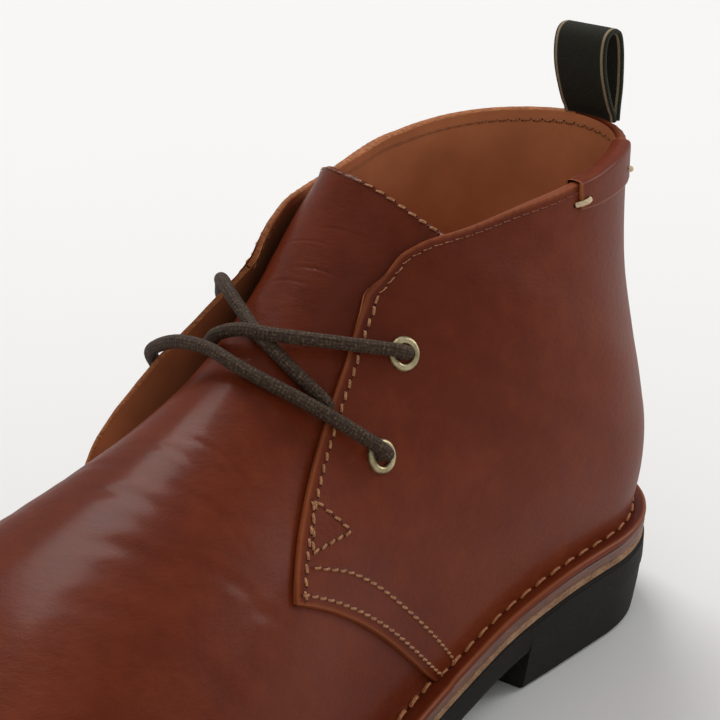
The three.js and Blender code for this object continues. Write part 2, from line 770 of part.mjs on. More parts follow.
// One run of round cord through points of station, girth and height over the last.
function cordRun(rows) {
  const points = rows.map(([station, girth, height]) => offLast(station, girth, height));
  const curve = new THREE.CatmullRomCurve3(points, false, "centripetal");
  const section = new THREE.Shape();
  section.absarc(0, 0, CORD_RADIUS, 0, 2 * Math.PI);
  const steps = Math.round(curve.getLength() / (2.7 * CORD_RADIUS));
  const geometry = new THREE.ExtrudeGeometry(section, {
    steps, curveSegments: 4, extrudePath: curve, bevelEnabled: false });
  return solidOfGeometry(geometry);
}

// How the cord lies over the near flap and drops into one of its eyelets.
function intoEyelet([station, girth], side, fromStation, fromGirth) {
  const over = QUARTER + EYELET_STAND + EYELET_RIM + GAP + CORD_RADIUS + 0.1;
  const top = (t, g) => flapLift(t, side * g) + over;
  const share = (part) => [mix(fromStation, station, part), mix(fromGirth, girth, part)];
  const near = share(0.8);
  return [
    [...share(0.5), top(...share(0.5)) - 0.6],
    [...near, top(...near) + 0.1],
    [...share(0.95), top(station, girth) - 0.2],
    [station, girth, top(station, girth) - 1.7],
    [station, girth, flapLift(station, side * girth) + 1.4],
  ].map(([t, g, height]) => [t, side * g, height]);
}

// The lace is one cord. Its runs cross over the tongue and dip under the flaps, where they end.
// Columns: station, signed share of the half girth, height over the last
function lace() {
  const upperRun = [
    ...intoEyelet(EYELETS.upper, 1, 0.75, 0.215).reverse(),
    [0.737, 0.189, 4.2],
    [0.71, 0.131, 4],
    [0.689, 0.064, 3.8],
    [0.679, -0.023, 3.7],
    [0.674, -0.112, 3.1],
    [0.68, -0.19, 2],
    [0.685, -0.24, 1.8],
  ];
  const lowerRun = [
    ...intoEyelet(EYELETS.lower, 1, 0.65, 0.31).reverse(),
    [0.641, 0.268, 3.7],
    [0.631, 0.2, 2.6],
    [0.622, 0.1, 2],
    [0.622, 0.02, 2.6],
    [0.63, -0.07, 4.5],
    [0.638, -0.17, farGape(0.638) + 0.3],
    [0.646, -0.26, farGape(0.646) + 3.4],
    [0.654, -0.325, farGape(0.654) + 2.9],
    ...intoEyelet(EYELETS.lower, -1, 0.664, 0.35).slice(1),
  ];
  const slantRun = [
    [0.652, 0.262, 2.3],
    [0.657, 0.225, 1.8],
    [0.664, 0.14, 1.75],
    [0.672, 0.08, 1.75],
    [0.684, 0.01, 1.75],
    [0.71, -0.08, 2.2],
    [0.737, -0.15, farGape(0.737) + 0.6],
    [0.762, -0.21, farGape(0.762) + 3.8],
    [0.782, -0.25, farGape(0.782) + 4.9],
    ...intoEyelet(EYELETS.upper, -1, 0.785, 0.262).slice(1),
  ];
  return cordRun(upperRun).add(cordRun(lowerRun)).add(cordRun(slantRun));
}

// The pull loop: one webbing strip folded over, its legs together on the collar's rim at the back.
function pullLoop() {
  const rim = lastPoint(RIM[RIM.length - 1][0], 1);
  const foot = rim.z + GAP;
  const inside = rim.y - QUARTER + GAP;
  const together = 2 * WEBBING;
  // Columns: share of the loop's height, back face, front face
  const legs = [
    [0, 0, together],
    [0.05, -0.1, 1.15 * together],
    [0.14, -0.3, 1.6 * together],
    [0.32, -0.8, 2.25 * together],
    [0.55, -0.8, 2.85 * together],
    [0.77, -0.3, 3 * together],
    [0.92, 1, 2.65 * together],
  ];
  const at = (share, out) => new THREE.Vector2(inside + out, foot + share * LOOP_HEIGHT);
  const ring = (rows, inset, crown) => [
    ...rows.map(([share, back]) => at(share, back + inset)),
    at(crown, 1.5 * together),
    ...rows.slice().reverse().map(([share, , front]) => at(share, front - inset)),
  ];
  const outline = new THREE.SplineCurve(ring(legs, 0, 1)).getPoints(36);
  const open = legs.slice(2).map(([share, back, front]) => [share > 0.9 ? share - 0.04 : share, back, front]);
  const eye = new THREE.SplineCurve(ring(open, WEBBING, 1 - WEBBING / LOOP_HEIGHT)).getPoints(24).reverse();
  const shape = new THREE.Shape(outline);
  shape.holes.push(new THREE.Path(eye));
  const geometry = new THREE.ExtrudeGeometry(shape, { depth: LOOP_WIDTH, bevelEnabled: false });
  geometry.applyMatrix4(new THREE.Matrix4().set(
    0, 0, 1, LOOP_OFFSET - LOOP_WIDTH / 2,
    1, 0, 0, 0,
    0, 1, 0, 0,
    0, 0, 0, 1));
  return solidOfGeometry(geometry);
}

// A leather tab folded over the outer rim near the back.
function collarTab() {
  const columns = 10;
  const clearance = 1.2 * GAP;
  const outerFace = QUARTER + clearance;
  const innerFace = -LEATHER - clearance;
  const rows = [[TAB_DROP, outerFace], [TAB_DROP / 2, outerFace], [-clearance, outerFace], [-clearance, innerFace],
    [0.6 * TAB_DROP, innerFace], [0.6 * TAB_DROP, innerFace - TAB_LEATHER],
    [-0.3 * TAB_LEATHER, innerFace - TAB_LEATHER], [-clearance - TAB_LEATHER, innerFace],
    [-clearance - TAB_LEATHER, outerFace], [-0.3 * TAB_LEATHER, outerFace + TAB_LEATHER],
    [TAB_DROP / 2, outerFace + TAB_LEATHER], [TAB_DROP, outerFace + TAB_LEATHER]];
  const loops = [];
  for (let i = 0; i <= columns; i++) {
    const [station, girth] = rimEdge(mix(0.53, 0.78, i / columns));
    loops.push(rows.map(([drop, height]) => offLast(station - drop / FEATHER_RUN, girth, height)));
  }
  const triangles = [];
  const quad = (a, b, c, d) => triangles.push([a, b, c], [a, c, d]);
  for (let i = 0; i < columns; i++) {
    for (let k = 0; k < rows.length; k++) {
      const next = (k + 1) % rows.length;
      quad(loops[i][k], loops[i][next], loops[i + 1][next], loops[i + 1][k]);
    }
  }
  const half = rows.length / 2;
  for (const [loop, turned] of [[loops[0], true], [loops[columns], false]]) {
    for (let k = 0; k < half - 1; k++) {
      const corners = [loop[k + 1], loop[rows.length - 2 - k], loop[rows.length - 1 - k]];
      if (turned) corners.reverse();
      quad(loop[k], ...corners);
    }
  }
  return solidOf(triangles);
}

function build() {
  const frames = {};
  for (const [row, place] of Object.entries(EYELETS)) {
    frames[`eyelet_outer_${row}`] = eyeletFrame(place, 1);
    frames[`eyelet_inner_${row}`] = eyeletFrame(place, -1);
  }
  let upper = vamp().add(quarters()).add(flange());
  for (const frame of Object.values(frames)) upper = upper.subtract(eyeletHole(frame));
  const boot = new THREE.Group();
  boot.add(
    meshOf("upper", upper, "leather"),
    meshOf("tongue", tongue(), "leather"),
    meshOf("insole", insole(), "lining"),
    meshOf("midsole", midsole(), "edge"),
    meshOf("outsole", outsole(), "rubber"),
    meshOf("lace", lace(), "cord"),
    meshOf("pull_loop", pullLoop(), "webbing"),
    meshOf("collar_tab", collarTab(), "leather"),
  );
  for (const [name, frame] of Object.entries(frames)) {
    boot.add(meshOf(name, solidOfGeometry(eyelet(frame)), "brass"));
  }
  return boot;
}

// Turns shoe coordinates into the part's own: s runs along -Y, and the box's middle is at X = Y = 0.
function standing(boot) {
  const part = new THREE.Group();
  boot.scale.set(1, -1, 1);
  part.add(boot);
  const box = new THREE.Box3().setFromObject(part);
  const middle = box.getCenter(new THREE.Vector3());
  boot.position.set(-middle.x, -middle.y, 0);
  return part;
}

export default standing(build());
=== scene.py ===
import math
import bpy
import numpy as np
from mathutils import Matrix, Vector


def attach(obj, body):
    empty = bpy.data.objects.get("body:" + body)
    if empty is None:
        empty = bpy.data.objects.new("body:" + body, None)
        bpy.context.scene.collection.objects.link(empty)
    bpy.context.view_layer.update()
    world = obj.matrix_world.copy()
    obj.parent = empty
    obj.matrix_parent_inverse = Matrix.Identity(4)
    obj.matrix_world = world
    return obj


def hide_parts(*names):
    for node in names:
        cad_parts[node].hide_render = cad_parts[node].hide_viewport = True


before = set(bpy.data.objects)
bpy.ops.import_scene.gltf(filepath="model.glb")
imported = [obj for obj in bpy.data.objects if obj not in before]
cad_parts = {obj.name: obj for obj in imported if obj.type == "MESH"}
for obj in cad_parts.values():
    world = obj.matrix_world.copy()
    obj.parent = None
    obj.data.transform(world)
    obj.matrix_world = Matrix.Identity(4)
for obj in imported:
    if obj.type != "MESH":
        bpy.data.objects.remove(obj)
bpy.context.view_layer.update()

# Sizes of the boot in millimetres. Shoe coordinates are x to the outer side, s forward from the heel, z up.
SOLE_LENGTH, BALL_WIDTH, SEAT_WIDTH, LAST_WIDTH, ANKLE_WIDTH = 305, 106, 73, 94, 74
COLLAR_HEIGHT, INSTEP_HEIGHT, TOE_HEIGHT, HEEL_STACK, FORE_STACK = 122, 86, 51, 25.5, 12.5
TOE_SPRING, HEEL_LENGTH, TOE_SWING = 10.5, 75, 6
LEATHER, QUARTER, FLANGE, FLANGE_WIDTH, INSOLE, MIDSOLE, GAP = 1.5, 1.8, 2, 7, 2.5, 4, 0.3
HEEL_TAPER = 3
EYELET_RADIUS, EYELET_BORE, EYELET_RIM, EYELET_STAND, CORD_RADIUS = 3.9, 2.25, 0.8, 0.55, 1.55
FAR_GAPE, NEAR_GAPE = 8.2, 0.5
LOOP_WIDTH, LOOP_HEIGHT, LOOP_OFFSET, WEBBING, TAB_DROP, TAB_LEATHER = 15, 23.4, 3.8, 1.5, 9, 0.8
HALF_BALL, HALF_SEAT, HALF_LAST, HALF_ANKLE = BALL_WIDTH / 2, SEAT_WIDTH / 2, LAST_WIDTH / 2, ANKLE_WIDTH / 2
FEATHER_END = SOLE_LENGTH - FLANGE_WIDTH
FEATHER_RUN = FEATHER_END - FLANGE_WIDTH
BACK_RISE = 1.08 * (COLLAR_HEIGHT - HEEL_STACK)
HEEL_ROUND, TOE_ROUND = 0.55 * SEAT_WIDTH, 0.585 * BALL_WIDTH
MIDDLE_X, MIDDLE_S = 0.304, 152.5

# Half the girth at the instep, by which a crease's share of the girth becomes a length
HALF_GIRTH = 95

# The stitching: length, gap and radius of a thread, how far it slants, and how far in each row runs
STITCH, STITCH_GAP, THREAD, SLANT = 2.1, 0.8, 0.34, 0.22
WELT_STITCH, WELT_GAP, WELT_THREAD, WELT_SLANT = 4.7, 1.2, 0.62, 0.08
PANEL_INSET, RIM_INSET, LINING_INSET, TONGUE_INSET = 2.0, 1.7, 2.6, 2.6
WELT_INSET, WELT_INSET_BACK, WELT_FLOOR = 5.3, 4.0, 1.62

# Where the tab lies along the collar, as shares of the rim from the facing to the back
TAB_START, TAB_END = 0.53, 0.78

# A distance past every edge and stitch row, given to a material where it shows neither
FAR = 9


def above(share):
    """A station up the back of the heel."""
    return 1 + share * BACK_RISE / FEATHER_RUN


# Sole outline: share of the length, half width outer and inner
PLAN = [
    [0, 0.995 * HALF_SEAT, 0.995 * HALF_SEAT], [0.115, HALF_SEAT, HALF_SEAT],
    [0.197, 0.98 * HALF_SEAT, 0.985 * HALF_SEAT], [0.279, 0.95 * HALF_SEAT, 0.95 * HALF_SEAT],
    [0.361, 0.685 * HALF_BALL, 0.645 * HALF_BALL], [0.459, 0.775 * HALF_BALL, 0.72 * HALF_BALL],
    [0.557, 0.905 * HALF_BALL, 0.87 * HALF_BALL], [0.656, HALF_BALL, 0.97 * HALF_BALL],
    [0.754, 1.02 * HALF_BALL, 0.98 * HALF_BALL], [0.852, 0.98 * HALF_BALL, 0.925 * HALF_BALL],
    [1, 0.905 * HALF_BALL, 0.83 * HALF_BALL],
]
# Rise of the sole: share of the length, share of the heel's lift, share of the toe spring
RISE = [
    [0, 1, 0], [0.115, 1, 0], [0.203, 0.946, 0], [0.262, 0.746, 0], [0.328, 0.454, 0], [0.393, 0.238, 0],
    [0.475, 0.07, 0], [0.55, 0, 0], [0.62, 0, 0], [0.72, 0, 0.02], [0.82, 0, 0.2], [0.918, 0, 0.543],
    [1, 0, 1],
]
# Ridge of the instep: share of the length, height
RIDGE = [
    [0.305, 1.18 * COLLAR_HEIGHT], [0.328, 1.1 * COLLAR_HEIGHT], [0.354, 1.026 * COLLAR_HEIGHT],
    [0.384, 0.954 * COLLAR_HEIGHT], [0.416, 0.89 * COLLAR_HEIGHT], [0.459, 0.818 * COLLAR_HEIGHT],
    [0.508, 1.072 * INSTEP_HEIGHT], [0.564, INSTEP_HEIGHT], [0.623, 0.935 * INSTEP_HEIGHT],
    [0.705, 0.835 * INSTEP_HEIGHT], [0.787, 1.2 * TOE_HEIGHT], [0.869, 1.085 * TOE_HEIGHT],
    [0.984, TOE_HEIGHT],
]
# Back of the heel: share of its rise, share of the length forward of the sole's end
BACK = [
    [0, FLANGE_WIDTH / SOLE_LENGTH], [0.1, 0.0225], [0.2, 0.022], [0.34, 0.0235], [0.51, 0.029], [0.7, 0.034],
    [0.89, 0.033], [1, 0.031],
]
# Turn of the stations' slope up the back: share of the back's rise, share of the turn
TURN = [[0, 0], [0.18, 0.139], [0.38, 0.282], [0.57, 0.44], [0.76, 0.638], [1, 1]]
# Sections: station, ridge end, half width outer and inner, ridge to widest point, fullness
SECTIONS = [
    [0, 0.977, 0.9 * HALF_LAST, 0.84 * HALF_LAST, 0.238 * INSTEP_HEIGHT, 2.3],
    [0.14, 0.844, 0.975 * HALF_LAST, 0.91 * HALF_LAST, 0.339 * INSTEP_HEIGHT, 2.3],
    [0.24, 0.748, 1.015 * HALF_LAST, 0.975 * HALF_LAST, 0.452 * INSTEP_HEIGHT, 2.2],
    [0.34, 0.653, 1.005 * HALF_LAST, 0.97 * HALF_LAST, 0.585 * INSTEP_HEIGHT, 2.1],
    [0.45, 0.562, 0.885 * HALF_LAST, 0.842 * HALF_LAST, 0.646 * INSTEP_HEIGHT, 2],
    [0.53, 0.5135, 0.783 * HALF_LAST, 0.751 * HALF_LAST, 0.69 * INSTEP_HEIGHT, 2],
    [0.62, 0.47, 0.9 * HALF_ANKLE, 0.887 * HALF_ANKLE, 0.74 * INSTEP_HEIGHT, 1.95],
    [0.7, 0.438, 0.884 * HALF_ANKLE, 0.884 * HALF_ANKLE, 0.79 * INSTEP_HEIGHT, 1.95],
    [0.8, 0.407, 0.92 * HALF_ANKLE, 0.92 * HALF_ANKLE, 0.848 * INSTEP_HEIGHT, 1.95],
    [0.9, 0.384, 0.98 * HALF_ANKLE, 0.98 * HALF_ANKLE, 0.907 * INSTEP_HEIGHT, 1.95],
    [1, 0.3656, HALF_ANKLE, HALF_ANKLE, 0.94 * INSTEP_HEIGHT, 1.95],
    [above(0.18), 0.354, 0.973 * HALF_ANKLE, 0.973 * HALF_ANKLE, 0.92 * INSTEP_HEIGHT, 1.95],
    [above(0.38), 0.342, 0.88 * HALF_ANKLE, 0.88 * HALF_ANKLE, 0.837 * INSTEP_HEIGHT, 1.95],
    [above(0.57), 0.331, 0.8 * HALF_ANKLE, 0.8 * HALF_ANKLE, 0.73 * INSTEP_HEIGHT, 1.95],
    [above(0.76), 0.32, 0.77 * HALF_ANKLE, 0.77 * HALF_ANKLE, 0.64 * INSTEP_HEIGHT, 2],
    [above(1), 0.305, 0.755 * HALF_ANKLE, 0.755 * HALF_ANKLE, 0.545 * INSTEP_HEIGHT, 2],
]
# Edges of the quarter: station, share of the half girth down from the ridge
FACING = [
    [0.4735, 0.552], [0.4845, 0.516], [0.507, 0.468], [0.533, 0.424], [0.5636, 0.384], [0.598, 0.348],
    [0.636, 0.314], [0.683, 0.276], [0.729, 0.249], [0.784, 0.222], [0.855, 0.198],
]
RIM = [
    [0.855, 0.198], [0.9, 0.176], [0.95, 0.15], [1, 0.149], [above(0.13), 0.166], [above(0.25), 0.194],
    [above(0.46), 0.267], [above(0.635), 0.347], [above(0.755), 0.435], [above(0.83), 0.52],
    [above(0.885), 0.635], [above(0.92), 0.755], [above(0.94), 0.875], [above(0.953), 1],
]
SEAM = [
    [0.4735, 0.552], [0.498, 0.589], [0.529, 0.638], [0.561, 0.699], [0.592, 0.772], [0.616, 0.852],
    [0.64, 0.952], [0.65, 1],
]
# Stitching on the quarter away from its edges: station, share of the half girth
SECOND_ROW = [
    [0.511, 0.512], [0.532, 0.54], [0.558, 0.575], [0.585, 0.626], [0.609, 0.686], [0.639, 0.783],
    [0.668, 0.931], [0.672, 0.985],
]
TRIANGLE = [[0.558, 0.403], [0.587, 0.514], [0.520, 0.489], [0.558, 0.403]]
# The slot that the tongue fills: station, share of the half girth at its edge
SLOT = [
    [0.515, 0.5], [0.565, 0.5], [0.62, 0.505], [0.69, 0.485], [0.76, 0.43], [0.84, 0.375], [0.88, 0.361],
    [0.92, 0.324], [0.96, 0.3], [above(0.1), 0.302], [above(0.25), 0.301], [above(0.43), 0.291],
]
# How far each flap's edge stands off the tongue: station, share of the near gape, share of the far gape
GAPE = [
    [0.4735, 0, 0], [0.5, 0, 0.25], [0.53, 0.15, 0.7], [0.56, 0.5, 0.92], [0.6, 0.9, 1.02], [0.65, 1, 1],
    [0.7, 1, 0.82], [0.74, 1, 0.7], [0.81, 1, 0.48], [0.86, 1, 0.36], [0.94, 1, 0.38], [1, 0.95, 0.38],
    [above(0.13), 0.75, 0.33], [above(0.4), 0.4, 0.22], [above(0.68), 0, 0],
]
# Top edge of the tongue: signed share of the half girth, station
TONGUE_TOP = [
    [-0.296, above(0.38)], [-0.212, above(0.53)], [-0.127, above(0.553)], [-0.032, above(0.519)],
    [0.074, above(0.466)], [0.165, above(0.37)], [0.233, above(0.3)], [0.286, above(0.22)],
]
# Back edge of the vamp under the quarters: share of the half girth, station
VAMP_BACK = [[0.5, 0.565], [0.75, 0.625], [1, 0.69]]
# Middle of each eyelet: station, share of the half girth
EYELETS = {"upper": (0.8165, 0.323), "lower": (0.68, 0.43)}

# Creases of the leather: station and share of the half girth at both ends, depth, half width
VAMP_CREASES = [
    [0.3, 0.1, 0.345, 0.42, 0.1, 2.2],
    [0.35, 0.02, 0.385, 0.36, 0.14, 2],
    [0.375, 0.22, 0.44, 0.52, 0.12, 1.7],
    [0.4, -0.1, 0.415, 0.22, 0.14, 1.9],
    [0.44, 0.1, 0.455, 0.4, 0.1, 1.4],
    [0.33, -0.4, 0.3, -0.08, 0.1, 2.2],
    [0.39, -0.42, 0.36, -0.06, 0.12, 1.9],
    [0.43, -0.36, 0.44, -0.02, 0.1, 1.5],
    [0.47, -0.16, 0.475, 0.18, 0.1, 1.4],
    [0.345, 0.46, 0.39, 0.72, 0.09, 2.5],
    [0.41, 0.46, 0.46, 0.6, 0.1, 1.5],
    [0.5, 0.02, 0.505, 0.3, 0.15, 1.2],
    [0.63, -0.16, 0.655, 0.06, 0.12, 0.9],
    [0.7, -0.02, 0.715, 0.18, 0.12, 0.9],
    [0.8, -0.2, 0.83, 0.06, 0.17, 1.1],
    [0.86, -0.05, 0.885, 0.16, 0.17, 1.1],
    [0.93, -0.16, 0.955, 0.05, 0.15, 1.1],
    [1, -0.02, 1.02, 0.13, 0.12, 1],
]
QUARTER_CREASES = [
    [0.74, 0.4, 0.9, 0.62, 0.22, 5],
    [0.8, 0.36, 0.99, 0.5, 0.16, 3.6],
    [0.9, 0.46, 1.02, 0.66, 0.18, 4.5],
    [0.66, 0.6, 0.8, 0.74, 0.14, 4.5],
    [1, 0.56, 1.1, 0.74, 0.14, 5],
]


def look_up(rows, at, column=1):
    """A smooth curve through one column of a table whose first column rises."""
    table = np.asarray(rows, float)
    x = np.clip(np.asarray(at, float), table[0, 0], table[-1, 0])
    steps = np.diff(table[:, 0])
    slopes = np.diff(table[:, column]) / steps
    tangents = np.empty(len(table))
    tangents[0], tangents[-1] = slopes[0], slopes[-1]
    tangents[1:-1] = (slopes[:-1] * steps[1:] + slopes[1:] * steps[:-1]) / (steps[1:] + steps[:-1])
    i = np.clip(np.searchsorted(table[:, 0], x, side="right") - 1, 0, len(table) - 2)
    t = (x - table[i, 0]) / steps[i]
    low, high = table[i, column], table[i + 1, column]
    return ((2 * t**3 - 3 * t**2 + 1) * low + (t**3 - 2 * t**2 + t) * steps[i] * tangents[i]
            + (3 * t**2 - 2 * t**3) * high + (t**3 - t**2) * steps[i] * tangents[i + 1])


def mix(a, b, share):
    return a + (b - a) * share


def ease(start, end, value):
    share = np.clip((np.asarray(value, float) - start) / (end - start), 0, 1)
    return share * share * (3 - 2 * share)


def round_end(share, power):
    return (1 - (1 - np.clip(share, 0, 1)) ** power) ** (1 / power)


def tread(s):
    share = np.asarray(s, float) / SOLE_LENGTH
    lift = (HEEL_STACK - FORE_STACK) * look_up(RISE, share, 1)
    return np.maximum(lift + TOE_SPRING * look_up(RISE, share, 2), 0)


def bed(s):
    return tread(s) + FORE_STACK


def centre_line(s):
    forward = np.clip((np.asarray(s, float) / SOLE_LENGTH - 0.49) / 0.51, 0, 1)
    return -TOE_SWING * forward**2


def plan_width(s, side):
    share = np.asarray(s, float) / SOLE_LENGTH
    return np.where(side > 0, look_up(PLAN, share, 1), look_up(PLAN, share, 2))


def half_width(s, side, inset):
    heel = round_end((s - inset) / (HEEL_ROUND - inset), 2.1)
    toe = round_end((SOLE_LENGTH - inset - s) / (TOE_ROUND - inset), 2.15)
    return (plan_width(s, side) - inset) * heel * toe


def back_at(z):
    return look_up(BACK, (z - HEEL_STACK) / BACK_RISE) * SOLE_LENGTH


def ridge_point(station):
    s = look_up(SECTIONS, station, 1) * SOLE_LENGTH
    return s, look_up(RIDGE, s / SOLE_LENGTH)


def drop_angle(start, end):
    return math.atan2(start[1] - end[1], start[0] - end[0])


CREST = (float(look_up(BACK, 1)) * SOLE_LENGTH, HEEL_STACK + BACK_RISE)
HEEL_ANGLE = drop_angle(ridge_point(1), (FLANGE_WIDTH, HEEL_STACK))
CREST_ANGLE = drop_angle(ridge_point(above(1)), CREST)


def station_plane(station):
    """Ridge end and foot end of a station's plane in side view, and how far the toe closes it."""
    ridge_s, ridge_z = ridge_point(station)
    front_s = FEATHER_END - station * FEATHER_RUN
    cap = np.where(station <= 1, round_end(station * FEATHER_RUN / (0.67 * TOE_HEIGHT), 2.3), 1)
    turn = look_up(TURN, (station - 1) * FEATHER_RUN / BACK_RISE)
    slope = np.tan(mix(HEEL_ANGLE, CREST_ANGLE, turn))
    back_z = np.full_like(ridge_z, CREST[1])
    for _ in range(6):
        back_z = ridge_z - (ridge_s - back_at(back_z)) * slope
    front = station <= 1
    foot_s = np.where(front, front_s, back_at(back_z))
    foot_z = np.where(front, bed(front_s), back_z)
    return ridge_s, mix(foot_z, ridge_z, cap), foot_s, foot_z, cap


def heel_half(s, z, side, width):
    seat = plan_width(s, side) - FLANGE_WIDTH
    rise = np.clip((z - bed(s)) / (0.4 * INSTEP_HEIGHT), 0, 1)
    closing = mix(HEEL_ROUND - FLANGE_WIDTH, 0.6 * ANKLE_WIDTH, rise)
    return mix(seat, width, rise * (2 - rise)) * round_end((s - back_at(z)) / closing, 2.15)


def last_point(station, girth):
    """Points of the last, from stations and signed shares of the half girth, + to the outer side."""
    station, girth = np.broadcast_arrays(np.asarray(station, float), np.asarray(girth, float))
    side = np.where(girth < 0, -1, 1)
    ridge_s, ridge_z, foot_s, foot_z, cap = station_plane(station)
    span = np.hypot(ridge_s - foot_s, ridge_z - foot_z)
    toe = round_end(station * FEATHER_RUN / (TOE_ROUND - FLANGE_WIDTH), 2.15)
    width = np.where(side > 0, look_up(SECTIONS, station, 2), look_up(SECTIONS, station, 3)) * toe
    reach = look_up(SECTIONS, station, 4) * cap
    power = look_up(SECTIONS, station, 5)
    foot_half = np.where(station < 1, np.minimum(half_width(foot_s, side, FLANGE_WIDTH), 0.985 * width), 0)
    tuck = np.where(width > 1e-6, np.arccos(np.clip(foot_half / np.maximum(width, 1e-6), 0, 1)), 0)
    turn = mix(tuck, 1.4, ease(0.86, 0.985, station))
    angle = np.abs(girth) * (math.pi / 2 + turn)
    over = np.maximum(np.cos(np.minimum(angle, math.pi / 2)), 0) ** (2 / power)
    below = np.sin(np.maximum(angle - math.pi / 2, 0)) / np.maximum(np.sin(turn), 1e-6)
    down = reach * (1 - over) + (span - reach) * below
    share = np.clip(down / np.maximum(span, 1e-6), 0, 1)
    s, z = mix(ridge_s, foot_s, share), mix(ridge_z, foot_z, share)
    heel_part = ease(0.6, 0.84, station)
    arch = round_end(down / np.maximum(reach, 1e-6), power)
    plain = width * np.cos(np.arcsin(np.clip(below * np.sin(tuck), 0, 1)))
    across = arch * mix(plain, heel_half(s, z, side, width), heel_part)
    middle = mix(centre_line(ridge_s), centre_line(foot_s), share)
    return np.stack([middle + side * across, s, z], -1)


def last_normal(station, girth):
    station, girth = np.broadcast_arrays(np.asarray(station, float), np.asarray(girth, float))
    step = 0.002
    t = np.clip(station, 2 * step, above(1) - step)
    g = np.where(girth < 0, -1, 1) * np.clip(np.abs(girth), 2 * step, 1 - step)
    along = last_point(t + step, g) - last_point(t - step, g)
    around = last_point(t, g + step) - last_point(t, g - step)
    normal = np.cross(along, around)
    normal /= np.maximum(np.linalg.norm(normal, axis=-1, keepdims=True), 1e-9)
    ridge_s, ridge_z, foot_s, foot_z, _ = station_plane(t)
    core = np.stack([centre_line(ridge_s), (ridge_s + foot_s) / 2, (ridge_z + foot_z) / 2], -1)
    inward = np.sum(normal * (last_point(t, g) - core), -1, keepdims=True) < 0
    normal = np.where(inward, -normal, normal)
    # On the back's middle line the two sides' directions are averaged.
    if np.any(np.abs(girth) > 0.999):
        tip = (np.abs(girth) > 0.999) & (station >= 1)
        normal[..., 0] = np.where(tip, 0, normal[..., 0])
        normal /= np.maximum(np.linalg.norm(normal, axis=-1, keepdims=True), 1e-9)
    return normal


def off_last(station, girth, height):
    height = np.asarray(height, float)[..., None]
    return last_point(station, girth) + height * last_normal(station, girth)


def to_part(points):
    """Shoe coordinates in millimetres to the part's own in metres."""
    x, s, z = points[..., 0], points[..., 1], points[..., 2]
    return np.stack([x + MIDDLE_X, MIDDLE_S - s, z], -1) / 1000


def spline(rows, share):
    """A Catmull-Rom curve through the rows."""
    rows = np.asarray(rows, float)
    last = len(rows) - 1
    at = np.clip(share, 0, 1) * last
    i = np.minimum(at.astype(int), last - 1)
    w = (at - i)[..., None]
    p0, p1 = rows[np.maximum(i - 1, 0)], rows[i]
    p2, p3 = rows[i + 1], rows[np.minimum(i + 2, last)]
    v0, v1 = (p2 - p0) / 2, (p3 - p1) / 2
    return (2 * p1 - 2 * p2 + v0 + v1) * w**3 + (-3 * p1 + 3 * p2 - 2 * v0 - v1) * w**2 + v0 * w + p1


def even_edge(rows):
    """A curve through a table's rows, run at an even pace over the last."""
    shares = np.linspace(0, 1, 401)
    track = spline(rows, shares)
    track[:, 1] = np.clip(track[:, 1], -1, 1)
    points = last_point(track[:, 0], track[:, 1])
    run = np.concatenate([[0], np.cumsum(np.linalg.norm(np.diff(points, axis=0), axis=1))])

    def edge(share):
        at = np.interp(np.asarray(share, float) * run[-1], run, shares)
        found = spline(rows, at)
        found[..., 1] = np.clip(found[..., 1], -1, 1)
        return found

    return edge


def slot_at(station):
    return look_up(SLOT, station)


def facing_at(station):
    return look_up(FACING + RIM[1:9], station)


def far_gape(station):
    return FAR_GAPE * look_up(GAPE, station, 2)


def flap_lift(station, girth):
    """How far a flap stands off the tongue."""
    edge = facing_at(station)
    reach = np.maximum(slot_at(station), edge + 0.1)
    share = np.clip((reach - np.abs(girth)) / (reach - edge), 0, 1)
    gape = np.where(np.asarray(girth) < 0, far_gape(station), NEAR_GAPE * look_up(GAPE, station, 1))
    return gape * share ** 1.5


def creases(table, station, girth):
    """Depth of the soft troughs, with a low ridge beside each."""
    t, g = np.asarray(station) * FEATHER_RUN, np.asarray(girth) * HALF_GIRTH
    total = np.zeros(np.broadcast(t, g).shape)
    for t0, g0, t1, g1, depth, width in table:
        start = np.array([t0 * FEATHER_RUN, g0 * HALF_GIRTH])
        way = np.array([t1 * FEATHER_RUN, g1 * HALF_GIRTH]) - start
        length = np.linalg.norm(way)
        along = ((t - start[0]) * way[0] + (g - start[1]) * way[1]) / length**2
        bow = 0.06 * length * np.sin(math.pi * np.clip(along, 0, 1))
        away = ((t - start[0]) * way[1] - (g - start[1]) * way[0]) / length - bow
        window = np.sin(math.pi * np.clip(along, 0, 1)) ** 0.8
        trough = np.exp(-((away / width) ** 2))
        ridge = 0.45 * np.exp(-(((np.abs(away) - 1.9 * width) / width) ** 2))
        total = total - depth * window * (trough - ridge)
    return total


